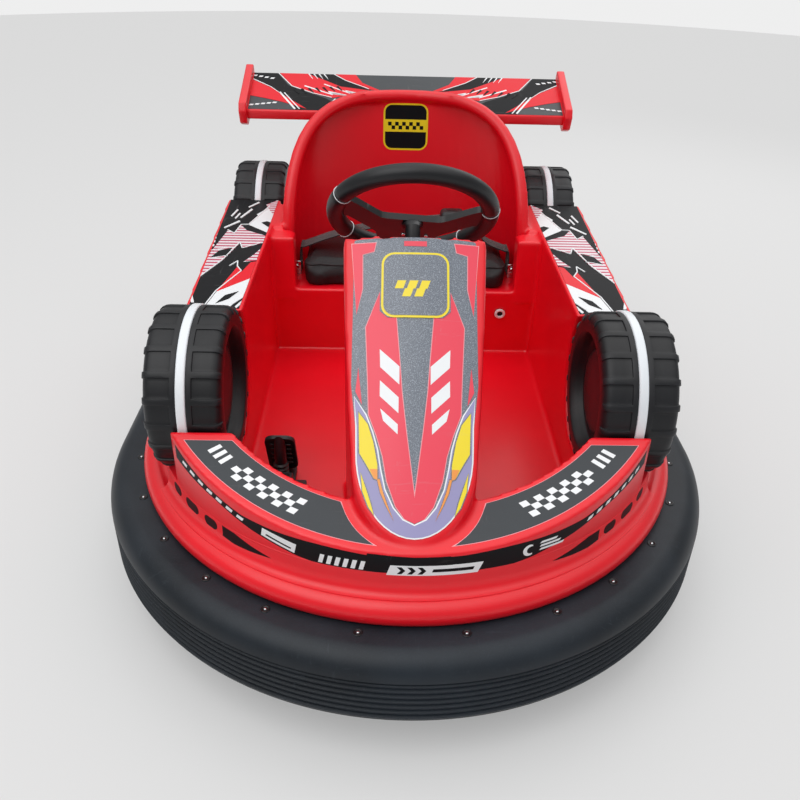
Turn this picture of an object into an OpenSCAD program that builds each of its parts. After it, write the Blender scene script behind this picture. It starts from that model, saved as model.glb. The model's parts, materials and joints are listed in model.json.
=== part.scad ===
// Battery bumper car with a rubber ring, a bucket seat, four dummy racing wheels and a rear wing.
// The front points to -Y and the driver's left is +X. The origin is on the floor, in the middle.
// Distances "behind the front" are measured from the ring's foremost point, and distances "ahead of
// the rear" from its rearmost point.

/* [Overall size] */
// Length over the bumper ring
car_len = 1700; // [1680:5:1760]
// Width over the bumper ring
car_w = 1200; // [1190:5:1240]

/* [Bumper ring] */
// Height of the ring's underside above the floor
ring_z = 76; // [70:1:84]
// Height of the ring's section
ring_h = 142; // [136:1:146]
// Radial depth of the ring's section
ring_d = 95; // [85:1:100]
// Radius of the ring's upper shoulder
ring_shoulder = 42; // [30:1:50]
// Number of ribs round the ring's side
rib_count = 7; // [5:1:9]
// Depth of the grooves between the ribs
rib_depth = 4; // [2:0.5:6]

/* [Chassis] */
// Thickness of the chassis plate
plate_t = 6; // [4:1:8]
// Underside of the chassis plate above the floor
plate_z = 88; // [84:1:92]
// Thickness of the rail that holds the ring
rail_t = 10; // [8:1:14]
// Width of the long floor bearers
bearer_w = 40; // [30:1:50]
// Place of the floor bearers from the middle
bearer_x = 215; // [200:5:230]
// Thickness of the drive dome's wall
dome_t = 5; // [4:1:6]
// Diameter of the holes for the wheel brackets' bolts
bolt_d = 11; // [9:1:12]

/* [Body] */
// Radial reach of the skirt's lip past the deck's edge
lip_d = 52; // [44:1:56]
// Radius of the deck's edge at both ends
deck_r = 478; // [474:1:482]
// Height of the deck above the floor
deck_z = 262; // [256:1:268]
// Depth of the channel along the deck's edge
channel_d = 5; // [2:0.5:8]
// Height of the footwell's floor
floor_z = 183; // [181:1:188]
// Thickness of the footwell's floor
floor_t = 8; // [6:1:10]
// Thickness of the footwell's walls
wall_t = 10; // [8:1:12]
// Half the width of the footwell
tub_x = 325; // [323:1:328]
// Distance of the footwell's rear wall ahead of the rear
tub_ahead = 650; // [640:1:655]
// Height of the side pods
pod_z = 498; // [485:1:510]
// Half the width over the pods at the front wheels
pod_front_x = 432; // [425:1:440]
// Half the width over the pods at the rear wheels
pod_rear_x = 468; // [455:1:472]

/* [Front wing] */
// Outer radius of the crescent wing
fwing_r = 493; // [485:1:500]
// Radial depth of the crescent wing, from its edge to the footwell
fwing_d = 84; // [80:1:96]
// Height of the wing's top at its front edge
fwing_z = 340; // [330:1:350]
// Slope of the wing's top in degrees
fwing_slope = 18.5; // [14:0.5:20]
// Height of the recess under the wing's band
fwing_foot = 25; // [15:1:30]
// Distance of the wing's ends behind the front
fwing_reach = 326; // [310:1:326]

/* [Nose cowl] */
// Height of the cowl's rear edge
cowl_z = 693; // [680:1:705]
// Distance of the cowl's rear edge behind the front
cowl_back = 480; // [472:1:490]
// Half the width at the rear edge
cowl_x = 116; // [110:1:122]
// Half the width at the nose, which is also its radius
nose_r = 90; // [84:1:94]
// Distance of the nose's tip behind the front
nose_gap = 135; // [128:1:140]
// Height of the top line above the nose's tip
nose_z = 362; // [355:1:370]
// Wall of the cowl
cowl_t = 8; // [6:1:10]
// Radius of the cowl's crowned top
crown_r = 600; // [400:10:800]

/* [Seat] */
// Height of the seat pan
seat_z = 360; // [352:1:368]
// Height of the seat's top
seat_top = 768; // [750:1:780]
// Half the width of the seat shell
seat_x = 310; // [300:1:312]
// Distance of the shell's back ahead of the rear, at the pan
seat_ahead = 398; // [394:1:410]
// Lean of the seat's back in degrees
seat_lean = 6; // [3:0.5:7]
// Thickness of the seat shell
shell_t = 18; // [14:1:20]
// Depth of the shell's side wings
shell_depth = 214; // [205:1:216]
// Half the width between the armrests
arm_x = 280; // [275:1:285]
// Height of the armrests
arm_z = 488; // [470:1:490]
// Thickness of the seat cushion
cushion_t = 58; // [50:1:66]
// Half the width of the seat cushion
cushion_x = 258; // [250:1:262]
// Width of the belt's webbing
belt_w = 46; // [38:1:48]

/* [Dummy wheels] */
// Radius of a dummy wheel
dummy_r = 149; // [146:1:150]
// Width of a dummy wheel
dummy_w = 135; // [128:1:136]
// Place of the dummy wheels from the middle
dummy_x = 389; // [388:1:392]
// Distance of the front wheels' centre behind the front
dummy_front = 481; // [480:1:490]
// Distance of the rear wheels' centre ahead of the rear
dummy_ahead = 288; // [284:1:298]
// Depth by which the tread is cut to a flat foot
foot_cut = 3; // [2:0.5:5]
// Width of the light strip
strip_w = 17; // [12:1:20]
// Depth of the light strip's groove
strip_d = 9; // [6:1:12]
// Width of the raised band beside the light strip
band_w = 10; // [6:1:14]
// Number of tread pockets round each side of a wheel
pocket_count = 20; // [16:1:24]
// Depth of a tread pocket
pocket_d = 5; // [3:0.5:7]

/* [Rear wing] */
// Width over the end plates
wing_w = 888; // [860:2:900]
// Thickness of the end plates
end_t = 14; // [10:1:18]
// Length of the blade from front to rear
blade_len = 180; // [165:1:185]
// Slope of the blade in degrees
blade_slope = 21; // [16:0.5:24]
// Thickness of the blade
blade_t = 20; // [14:1:22]
// Distance of the blade's front edge ahead of the rear
blade_ahead = 308; // [300:1:315]
// Height of the blade's front edge
blade_z = 700; // [692:1:708]
// Place of the wing struts from the middle
strut_x = 150; // [130:1:180]
// Thickness of the wing struts
strut_t = 12; // [8:1:16]

/* [Steering] */
// Diameter of the steering wheel
steer_d = 320; // [310:1:326]
// Diameter of the rim's tube
rim_d = 34; // [30:1:36]
// Height of the steering wheel's centre
steer_z = 685; // [678:1:692]
// Distance of the steering wheel's centre behind the front
steer_back = 650; // [645:1:660]
// Lean of the column from upright in degrees
steer_lean = 46.5; // [44:0.5:49]
// Diameter of the column's tube
column_d = 28; // [24:1:30]

/* [Pedal and port] */
// Place of the pedal from the middle, on the driver's right
pedal_x = 248; // [235:1:262]
// Distance of the pedal's base behind the front
pedal_back = 390; // [380:1:410]
// Width of the pedal's base
pedal_w = 96; // [84:1:100]
// Place of the charging port from the middle
port_x = 240; // [230:1:250]
// Height of the charging port
port_z = 300; // [290:1:310]
// Diameter of the port's barrel
port_d = 20; // [18:1:22]
// Diameter of the port's socket
socket_d = 14; // [12:0.5:15]

/* [Running gear] */
// Diameter of the wheels on the floor
roll_d = 150; // [147:1:150]
// Width of the driven tyre
drive_w = 56; // [50:1:60]
// Width of a rear tyre
rear_w = 40; // [34:1:44]
// Distance of the drive unit behind the front
drive_gap = 330; // [328:1:340]
// Distance of the rear wheels ahead of the rear
rear_ahead = 420; // [410:5:440]
// Place of the rear wheels from the middle
rear_x = 290; // [280:1:300]
// Diameter of the axle pins
axle_d = 15; // [12:1:18]
// Radial running clearance of a pin in its bore
run_gap = 0.05; // [0.02:0.01:0.08]
// Diameter of the steering stem
stem_d = 40; // [36:1:44]
// Length of the battery block
battery_len = 240; // [220:5:255]
// Width of the battery block
battery_w = 340; // [320:5:360]
// Height of the battery block
battery_h = 190; // [170:5:200]

/* [Hidden] */
$fn = 96;

front_y = -car_len / 2;
rear_end = car_len / 2;
ring_r = car_w / 2;
arc_y = car_len / 2 - ring_r;    // centres of the two round ends
ring_in = ring_r - ring_d;       // inner radius of the ring, outer radius of its rail
ring_top = ring_z + ring_h;
rail_in = ring_in - rail_t;
plate_top = plate_z + plate_t;
floor_under = floor_z - floor_t;
lip_r = deck_r + lip_d;
roll_r = roll_d / 2;
tub_r = fwing_r - fwing_d;       // radius of the footwell's front wall
quarter = 90;                    // a quarter turn, in degrees
big = 4000;                      // size of the blocks that cut
seat_gap = 0.3;                  // air between soft or moving pieces and their seats

// Sweeps a section, drawn as radius and height, round the stadium outline of the car.
module stadium_sweep(section) {
    for (turn = [0, 180]) rotate([0, 0, turn]) translate([0, arc_y, 0]) {
        rotate_extrude(angle = 180) polygon(section);
        rotate([90, 0, 0]) linear_extrude(2 * arc_y) polygon(section);
    }
}

// Extrudes an outline, drawn as y and z, across the car from x0 to x1.
module across(x0, x1) translate([x0, 0, 0]) rotate([90, 0, 90]) linear_extrude(x1 - x0) children();

// Bumper ring: a rubber section with a round shoulder and ribs round its side.
rib_top = ring_top - ring_shoulder;
rib_low = ring_z + 14;
rib_step = (rib_top - rib_low) / rib_count;
ring_chamfer = 24;
rib_shape = [[0, 0.1], [0, 0.7], [1, 0.8], [1, 1]];   // share of the groove's depth, share of a rib
ring_section = concat(
    [[ring_in + seat_gap, ring_top - seat_gap], [ring_in + seat_gap, ring_z],
        [ring_r - ring_chamfer, ring_z], [ring_r - rib_depth, rib_low]],
    [for (i = [0 : rib_count - 1], p = rib_shape)
        [ring_r - rib_depth * p[0], rib_low + (i + p[1]) * rib_step]],
    [for (a = [15 : 15 : 90])
        [ring_r - ring_shoulder * (1 - cos(a)), rib_top + (ring_shoulder - seat_gap) * sin(a)]]);
module bumper_ring() color("#24272b") stadium_sweep(ring_section);

// Rail that carries the ring and the skirt.
module ring_rail() color("#1d1f22") stadium_sweep(
    [[rail_in, plate_z], [ring_in, plate_z], [ring_in, ring_top], [rail_in, ring_top]]);

// Chassis plate with the opening for the drive unit and the slots for the rear wheels.
drive_y = front_y + drive_gap;
rear_y = rear_end - rear_ahead;
dome_r = roll_r + 36;            // inner radius of the drive dome
cheek_t = 6;
cheek_in = rear_w / 2 + 7;       // inner face of a bracket's cheek, from the wheel's middle
cheek_out = cheek_in + cheek_t;
slot_y = roll_d + 24;
bolt_x = cheek_out + 20;
bolt_y = 50;
module bracket_bolts(h) for (x = [-bolt_x, bolt_x], y = [-bolt_y, bolt_y])
    translate([x, y, 0]) cylinder(d = bolt_d, h = h);
module chassis_plate() color("#2b2d30") difference() {
    stadium_sweep([[0, plate_z], [rail_in, plate_z], [rail_in, plate_top], [0, plate_top]]);
    translate([0, drive_y, plate_z - 1]) cylinder(r = dome_r, h = plate_t + 2);
    for (side = [-1, 1]) translate([side * rear_x, rear_y, plate_z - 1]) {
        translate([-cheek_out, -slot_y / 2, 0]) cube([2 * cheek_out, slot_y, plate_t + 2]);
        bracket_bolts(plate_t + 2);
    }
}

// Two long bearers and a cross bearer between the plate and the footwell's floor.
tub_y = rear_end - tub_ahead;
bearer_y = tub_y - 20;
bearer_len = bearer_y - drive_y;
bearer_h = floor_under - plate_top;
module floor_bearers() color("#3a3c40") translate([0, bearer_y, plate_top]) {
    for (side = [-1, 1]) translate([side * bearer_x - bearer_w / 2, -bearer_len, 0])
        cube([bearer_w, bearer_len, bearer_h]);
    translate([-bearer_x, -bearer_w, 0]) cube([2 * bearer_x, bearer_w, bearer_h]);
}

// Dome over the drive unit, with the bore in which the stem turns.
dome_top_t = 6;
dome_flange = 24;
module drive_dome() color("#35383c") translate([0, drive_y, plate_top]) difference() {
    union() {
        cylinder(r = dome_r + dome_t, h = bearer_h);
        cylinder(r = dome_r + dome_flange, h = dome_t);
    }
    translate([0, 0, -1]) cylinder(r = dome_r, h = bearer_h - dome_top_t + 1);
    cylinder(d = stem_d + 2 * run_gap, h = bearer_h + 1);
}

// The inside of the footwell in plan, grown outwards by g.
module tub_plan(g = 0) intersection() {
    union() {
        translate([0, -arc_y]) circle(tub_r + g);
        translate([-tub_x - g, -arc_y]) square([2 * (tub_x + g), arc_y + tub_y + g]);
    }
    translate([-tub_x - g, front_y]) square([2 * (tub_x + g), tub_y + g - front_y]);
}

// Skirt and deck: the band on top of the ring, with its rounded lip.
deck_in = 280;                   // inner radius of the deck behind the footwell
lip_round = 25;
lip_start = -asin((deck_z - lip_round - ring_top) / lip_round);
lip_steps = 6;
channel_side = 7;                // width of the channel's sloping sides
channel_in = deck_r + 1;
channel_out = lip_r - lip_round - 2;
deck_section = concat([[deck_in, deck_z], [deck_in, ring_top]],
    [for (i = [0 : lip_steps]) let (a = lip_start + (quarter - lip_start) * i / lip_steps)
        [lip_r - lip_round + lip_round * cos(a), deck_z - lip_round + lip_round * sin(a)]],
    [[channel_out, deck_z], [channel_out - channel_side, deck_z - channel_d],
        [channel_in + channel_side, deck_z - channel_d], [channel_in, deck_z]]);
module skirt_deck() color("#d8101c") difference() {
    stadium_sweep(deck_section);
    translate([0, 0, ring_top - 1]) linear_extrude(deck_z) tub_plan(wall_t + seat_gap);
}

// Footwell: floor and walls, open at the top, with a hole for the stem under the cowl.
stem_hole_d = stem_d + 12;
module cockpit_tub() color("#d8101c") difference() {
    translate([0, 0, floor_under]) linear_extrude(deck_z - floor_under) tub_plan(wall_t);
    translate([0, 0, floor_z]) linear_extrude(deck_z) tub_plan();
    translate([0, drive_y, floor_under - 1]) cylinder(d = stem_hole_d, h = floor_t + 2);
}

// Dummy wheels: moulded wheels that stand on the deck on a flat foot.
dummy_front_y = front_y + dummy_front;
dummy_rear_y = rear_end - dummy_ahead;
dummy_z = deck_z + dummy_r - foot_cut;
dummy_half = dummy_w / 2;
dish_r = dummy_r - 33;
dish_d = 26;
dish_slant = 12;
boss_r = 46;
boss_h = 14;
shoulder = 10;
// One half of the wheel's section, as radius and distance from its middle, from the rim inwards.
dummy_half_section = [[dummy_r - strip_d, strip_w / 2], [dummy_r, strip_w / 2],
    [dummy_r, dummy_half - shoulder], [dummy_r - shoulder, dummy_half], [dish_r, dummy_half],
    [dish_r - dish_slant, dummy_half - dish_d], [boss_r, dummy_half - dish_d],
    [boss_r - 8, dummy_half - dish_d + boss_h], [0, dummy_half - dish_d + boss_h]];
dummy_points = len(dummy_half_section);
dummy_section = concat(dummy_half_section,
    [for (i = [1 : dummy_points]) let (p = dummy_half_section[dummy_points - i]) [p[0], -p[1]]]);
module dummy_place(side, y) translate([side * dummy_x, y, dummy_z]) rotate([0, 90, 0]) children();
module above_deck() translate([-big / 2, -big / 2, deck_z]) cube(big);
pocket_pitch = 360 / pocket_count;
pocket_share = 0.7;              // a pocket's share of its pitch
pocket_turn = 7;                 // angle of the first pocket, in degrees
pocket_y = dummy_r * pocket_pitch * pocket_share * PI / 180;
pocket_in = strip_w / 2 + band_w;
module tread_pockets() for (i = [0 : pocket_count - 1], z = [-dummy_w, pocket_in])
    rotate([0, 0, pocket_turn + i * pocket_pitch])
        translate([dummy_r - pocket_d, -pocket_y / 2, z]) cube([dummy_r, pocket_y, dummy_w - pocket_in]);
module dummy_wheel(side, y) color("#1c1e22") intersection() {
    dummy_place(side, y) difference() {
        rotate_extrude() polygon(dummy_section);
        tread_pockets();
    }
    above_deck();
}
module dummy_wheel_front_left() dummy_wheel(1, dummy_front_y);
module dummy_wheel_front_right() dummy_wheel(-1, dummy_front_y);
module dummy_wheel_rear_left() dummy_wheel(1, dummy_rear_y);
module dummy_wheel_rear_right() dummy_wheel(-1, dummy_rear_y);

// Light strips in the grooves of the dummy wheels.
strip_proud = 2;
module light_strips() color("#e8eef2")
    for (side = [-1, 1], y = [dummy_front_y, dummy_rear_y]) intersection() {
        dummy_place(side, y) difference() {
            cylinder(r = dummy_r + strip_proud, h = strip_w - 2 * seat_gap, center = true);
            cylinder(r = dummy_r - strip_d + seat_gap, h = strip_w, center = true);
        }
        above_deck();
    }

// Side pods between the dummy wheels, arched round them.
arch_gap = 12;
module side_pod(side) color("#d8101c") difference() {
    translate([0, 0, deck_z]) linear_extrude(pod_z - deck_z) polygon([
        [side * tub_x, dummy_front_y], [side * pod_front_x, dummy_front_y],
        [side * pod_rear_x, dummy_rear_y], [side * tub_x, dummy_rear_y]]);
    for (y = [dummy_front_y, dummy_rear_y])
        dummy_place(side, y) cylinder(r = dummy_r + arch_gap, h = big, center = true);
}
module side_pod_left() side_pod(1);
module side_pod_right() side_pod(-1);

// Crescent wing on the front of the deck, its top sloping down to the front.
fwing_end = front_y + fwing_reach;
fwing_foot_in = 15;
module above_fwing() translate([0, -arc_y - fwing_r, fwing_z]) rotate([fwing_slope, 0, 0])
    translate([-big / 2, -big / 2, 0]) cube(big);
module front_wing() color("#d8101c") difference() {
    translate([0, -arc_y, deck_z]) {
        cylinder(r = fwing_r - fwing_foot_in, h = fwing_foot);
        translate([0, 0, fwing_foot]) cylinder(r = fwing_r, h = fwing_r);
    }
    translate([0, -arc_y, deck_z - 1]) cylinder(r = tub_r, h = big);
    translate([-big / 2, fwing_end, 0]) cube(big);
    above_fwing();
}

// Nose cowl: a tapered tunnel from the footwell's floor up to the steering column.
cowl_y = front_y + cowl_back;
nose_y = front_y + nose_gap;
nose_mid = nose_y + nose_r;
cowl_rise = atan2(cowl_z - nose_z, cowl_y - nose_y);
module cowl_plan(g) {
    translate([0, nose_mid]) circle(nose_r - g);
    polygon([[g - nose_r, nose_mid], [nose_r - g, nose_mid], [cowl_x - g, cowl_y], [g - cowl_x, cowl_y]]);
}
module cowl_body(g) intersection() {
    translate([0, 0, floor_z - g]) linear_extrude(cowl_z) cowl_plan(g);
    translate([0, nose_y, nose_z]) rotate([cowl_rise, 0, 0]) translate([0, 0, -crown_r - g])
        rotate([90, 0, 0]) cylinder(r = crown_r, h = big, center = true, $fn = 180);
}
module nose_cowl() color("#d8101c") difference() {
    cowl_body(0);
    difference() {
        cowl_body(cowl_t);
        translate([-big / 2, cowl_y - cowl_t, 0]) cube(big);
    }
    difference() {
        translate([-big / 2, -big / 2, 0]) cube(big);
        translate([0, -arc_y, -1]) cylinder(r = tub_r - seat_gap, h = big + 2);
        above_fwing();
    }
    at_wall() cylinder(d = column_d + 12, h = 8 * cowl_t, center = true);
}

// Seat pedestal with the pan on top, hollow for the battery.
ped_base = tub_y - 5;
ped_lip = tub_y - 28;
ped_tilt = atan2(ped_base - ped_lip, seat_z - floor_z);
seat_y = rear_end - seat_ahead;
ped_rear = seat_y + 48;
ped_wall = 18;
ped_in_x = tub_x - 2 * ped_wall;
neck_x = dummy_x - dummy_half - 13;      // half the width between the rear dummy wheels
neck_y = dummy_rear_y - dummy_r - 20;
module seat_pedestal() color("#d8101c") difference() {
    intersection() {
        across(-tub_x, tub_x) polygon([[ped_base, floor_z], [tub_y, floor_z], [tub_y, deck_z],
            [ped_rear, deck_z], [ped_rear, seat_z], [ped_lip, seat_z]]);
        linear_extrude(big) polygon([[-tub_x, front_y], [tub_x, front_y], [tub_x, neck_y],
            [neck_x, neck_y + 15], [neck_x, ped_rear], [-neck_x, ped_rear],
            [-neck_x, neck_y + 15], [-tub_x, neck_y]]);
    }
    translate([-ped_in_x, tub_y + wall_t, 0])
        cube([2 * ped_in_x, ped_rear - tub_y - wall_t - ped_wall, seat_z - wall_t]);
    on_port() cylinder(d = port_d + 2 * seat_gap, h = 6 * port_d, center = true);
}

// Charging port in the pedestal's front wall: a flanged barrel with an open socket.
port_len = 20;
flange_d = port_d + 9;
flange_t = 4;
socket_len = 14;
module on_port() translate([port_x, ped_base - (port_z - floor_z) * tan(ped_tilt), port_z])
    rotate([90 + ped_tilt, 0, 0]) children();
module charge_port() color("#e6e6e6") on_port() difference() {
    union() {
        translate([0, 0, -port_len]) cylinder(d = port_d, h = port_len);
        cylinder(d = flange_d, h = flange_t);
    }
    translate([0, 0, flange_t - socket_len]) cylinder(d = socket_d, h = socket_len + 1);
}

// Armrest blocks on the pan, between the pods and the cushion, in front of the seat shell.
arm_y = tub_y + 5;
shell_front = seat_y - shell_depth;
module armrests() color("#d8101c") for (x = [-tub_x, arm_x]) translate([x, arm_y, seat_z])
    cube([tub_x - arm_x, shell_front - seat_gap - arm_y, arm_z - seat_z]);

// Seat shell: a bucket round the driver, its rim sweeping back and closing at the top.
shell_rows = 14;
shell_cols = 28;
rim_start = 0.3;                 // share of the height below which the wings stay upright
top_share = 0.985;
top_depth = 48;
function shell_rise(s) = max(0, (s - rim_start) / (1 - rim_start));
function shell_w(s) = (seat_x - 18 * s) * pow(1 - pow(s, 5), 1 / 3);
function shell_d(s) = top_depth + (shell_depth - top_depth) * (1 - pow(shell_rise(s), 1.7));
function shell_pt(s, a, g) = [(shell_w(s) - g) * sign(a) * pow(abs(sin(a)), 0.8),
    seat_y + (seat_top - seat_z) * s * tan(seat_lean) - shell_d(s) + (shell_d(s) - g) * pow(cos(a), 0.8),
    seat_z + (seat_top - seat_z) * s / top_share];
shell_rings = [for (g = [0, shell_t], r = [0 : shell_rows], c = [0 : shell_cols])
    shell_pt(top_share * sin(90 * r / shell_rows), 180 * c / shell_cols - 90, g)];
shell_n = shell_cols + 1;
shell_m = shell_n * (shell_rows + 1);
shell_faces = concat(
    [for (r = [0 : shell_rows - 1], c = [0 : shell_cols - 1]) let (a = r * shell_n + c)
        [a, a + shell_n, a + shell_n + 1, a + 1]],
    [for (r = [0 : shell_rows - 1], c = [0 : shell_cols - 1]) let (a = shell_m + r * shell_n + c)
        [a + 1, a + shell_n + 1, a + shell_n, a]],
    [for (r = [0 : shell_rows - 1]) let (a = r * shell_n)
        [a, a + shell_m, a + shell_m + shell_n, a + shell_n]],
    [for (r = [0 : shell_rows - 1]) let (a = r * shell_n + shell_cols)
        [a + shell_n, a + shell_m + shell_n, a + shell_m, a]],
    [for (c = [0 : shell_cols - 1]) [c, c + 1, c + 1 + shell_m, c + shell_m]],
    [for (c = [0 : shell_cols - 1]) let (a = shell_rows * shell_n + c)
        [a + 1, a, a + shell_m, a + shell_m + 1]]);
module seat_shell() color("#d8101c")
    polyhedron(points = shell_rings, faces = shell_faces, convexity = 6);

// Seat cushion on the pan, rounded in front and following the shell behind.
cushion_front = ped_lip + 12;
cushion_gap = 6;
cushion_top = seat_z + seat_gap + cushion_t;
cushion_round = 30;
cushion_nose = 34;
cushion_side = [for (a = [0 : 15 : 90]) [cushion_front + cushion_nose * (1 - cos(a)),
    cushion_top - cushion_nose * (1 - sin(a))]];
module cushion_plan() intersection() {
    union() {
        translate([-cushion_x, cushion_front + cushion_round]) square([2 * cushion_x, shell_depth]);
        translate([cushion_round - cushion_x, cushion_front])
            square([2 * (cushion_x - cushion_round), shell_depth]);
        for (x = [cushion_round - cushion_x, cushion_x - cushion_round])
            translate([x, cushion_front + cushion_round]) circle(cushion_round);
    }
    polygon(concat([[-cushion_x, cushion_front], [cushion_x, cushion_front]],
        [for (c = [shell_cols : -1 : 0])
            let (p = shell_pt(0, 180 * c / shell_cols - 90, shell_t + cushion_gap)) [p[0], p[1]]]));
}
module seat_cushion() color("#17181b") intersection() {
    across(-cushion_x, cushion_x) polygon(concat([[cushion_front, seat_z + seat_gap]], cushion_side,
        [[seat_y, cushion_top], [seat_y, seat_z + seat_gap]]));
    linear_extrude(big) cushion_plan();
}

// Lap belt: two straps that arch over the cushion to the buckle, and their anchor plates.
belt_t = 4;
belt_x = cushion_x + 4;
belt_y = shell_front + 52;
belt_crown = 86;                 // height of the arch above the cushion
buckle = [60, 48, 34];
buckle_x = 115;
right_arch = [[0, 0.07], [0.04, 0.16], [0.29, 0.53], [0.6, 0.81], [1, 1]];
left_arch = [[0, 0.05], [0.1, 0.12], [0.45, 0.33], [0.75, 0.72], [1, 1]];
module belt(side, end, arch) translate([0, belt_y + belt_w / 2, 0])
    rotate([90, 0, 0]) linear_extrude(belt_w) polygon(concat([[side * belt_x, seat_z]],
        [for (p = arch) [side * belt_x + (end - side * belt_x) * p[0], cushion_top + belt_crown * p[1]]],
        [for (i = [1 : len(arch)]) let (p = arch[len(arch) - i])
            [side * belt_x + (end - side * belt_x) * p[0] + (i == len(arch) ? side * belt_t : 0),
            cushion_top + belt_crown * p[1] + belt_t]],
        [[side * (belt_x + belt_t), seat_z]]));
module lap_belt() color("#111214") {
    belt(1, buckle_x + buckle[0] / 2, left_arch);
    belt(-1, buckle_x - buckle[0] / 2, right_arch);
}
module belt_buckle() color("#0e0f10") translate([buckle_x - buckle[0] / 2, belt_y - buckle[1] / 2,
    cushion_top + belt_crown - buckle[2] / 3]) cube(buckle);
anchor = [22, 3, 36];
module belt_anchors() color("#c9ccd0") for (x = [-belt_x - anchor[0], belt_x])
    translate([x, belt_y - belt_w / 2 - seat_gap - anchor[1], seat_z]) cube(anchor);

// Tail fairing behind the seat, sloping down to the rear deck.
tail_gap = 60;                   // distance of its rear end inside the deck's edge
tail_rear = arc_y + deck_r - tail_gap;
tail_z = 486;
tail_low = 312;
tail_flat = 70;                  // length of its level top
tail_nose = [60, 40];            // length and height of the slope at its rear end
tail_waist = 60;                 // distance behind the rear wheels' centre where it narrows
tail_x = neck_x - 8;
tail_x_rear = 190;
module tail_mass() intersection() {
    across(-tail_x, tail_x) polygon([[ped_rear, deck_z], [tail_rear, deck_z], [tail_rear, tail_low],
        [tail_rear - tail_nose[0], tail_low + tail_nose[1]], [ped_rear + tail_flat, tail_z],
        [ped_rear, tail_z]]);
    linear_extrude(big) polygon([[-tail_x, ped_rear], [tail_x, ped_rear],
        [tail_x, dummy_rear_y + tail_waist], [tail_x_rear, tail_rear], [-tail_x_rear, tail_rear],
        [-tail_x, dummy_rear_y + tail_waist]]);
}
module tail_fairing() color("#d8101c") tail_mass();

// Rear wing: a tilted blade between two end plates, on two struts.
blade_y = rear_end - blade_ahead;
module on_blade() translate([0, blade_y, blade_z]) rotate([blade_slope, 0, 0]) children();
module wing_blade() color("#c8121c") on_blade()
    translate([end_t - wing_w / 2, 0, -blade_t]) cube([wing_w - 2 * end_t, blade_len, blade_t]);
end_front = -14;                 // the plates' reach past the blade: front, rear, down and up
end_rear = 8;
end_down = -46;
end_up = 20;
end_cut = 16;
module wing_end_plates() color("#d8101c") for (x = [-wing_w / 2, wing_w / 2 - end_t])
    on_blade() across(x, x + end_t) polygon([[end_front + end_cut, end_down],
        [blade_len + end_rear - end_cut, end_down], [blade_len + end_rear, end_down + end_cut],
        [blade_len + end_rear, end_up - 4], [blade_len + end_rear - 4, end_up],
        [end_front + end_cut, end_up], [end_front, end_up - end_cut], [end_front, end_down + end_cut]]);
strut_y = blade_y + 40;
strut_len = 84;
module wing_struts() color("#c8121c") difference() {
    for (side = [-1, 1]) translate([side * strut_x - strut_t / 2, strut_y, tail_low])
        cube([strut_t, strut_len, blade_z - tail_low + blade_len]);
    tail_mass();
    on_blade() translate([-big / 2, -big / 2, -blade_t]) cube(big);
}

// Steering wheel: rim, spoke plate with its hub, and the column in its bearing.
steer_y = front_y + steer_back;
rim_r = (steer_d - rim_d) / 2;
module on_column() translate([0, steer_y, steer_z]) rotate([-steer_lean, 0, 0]) children();
module rim_tube(g) rotate_extrude() translate([rim_r, 0]) circle(d = rim_d + 2 * g, $fn = 48);
module steering_rim() color("#101113") on_column() rim_tube(0);
spoke_t = 12;
spoke_y = -26;                   // upper edge of the spokes at the rim
spoke_dip = 16;                  // upper edge of the spokes at the middle
spoke_mid = 44;                  // half the width of the dip
spoke_low = 12;                  // lower edge of the spokes at the rim
spoke_root = 62;                 // corner between a side spoke and the lower spoke
spoke_foot = 42;                 // half the width of the lower spoke at the rim
hub_d = 64;
hub_h = 22;
module steering_spokes() color("#131416") on_column() difference() {
    union() {
        translate([0, 0, -spoke_t / 2]) linear_extrude(spoke_t) intersection() {
            circle(rim_r);
            polygon([[-rim_r, spoke_y], [-spoke_mid, spoke_dip], [spoke_mid, spoke_dip],
                [rim_r, spoke_y], [rim_r, spoke_low], [spoke_root, spoke_root], [spoke_foot, rim_r],
                [-spoke_foot, rim_r], [-spoke_root, spoke_root], [-rim_r, spoke_low]]);
        }
        translate([0, 0, -spoke_t / 2 - hub_h]) cylinder(d = hub_d, h = spoke_t + hub_h);
    }
    rim_tube(seat_gap);
}
column_top = -spoke_t / 2 - hub_h;
column_len = 290;
module steering_column() color("#2a2c2f") on_column()
    translate([0, 0, column_top - column_len]) cylinder(d = column_d, h = column_len);
bearing_d = column_d + 30;
bearing_len = 52;                // reach of the bearing along the column, from the cowl's wall
wall_reach = (steer_y - cowl_y) / sin(steer_lean);
module at_wall() on_column() translate([0, 0, -wall_reach]) children();
module column_bearing() color("#1a1b1d") difference() {
    at_wall() translate([0, 0, bearing_len - 2 * bearing_d]) cylinder(d = bearing_d, h = 2 * bearing_d);
    at_wall() cylinder(d = column_d + 2 * run_gap, h = 6 * bearing_d, center = true);
    translate([-big / 2, cowl_y - 2 * big, -big]) cube([big, 2 * big, 2 * big]);
}

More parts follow.
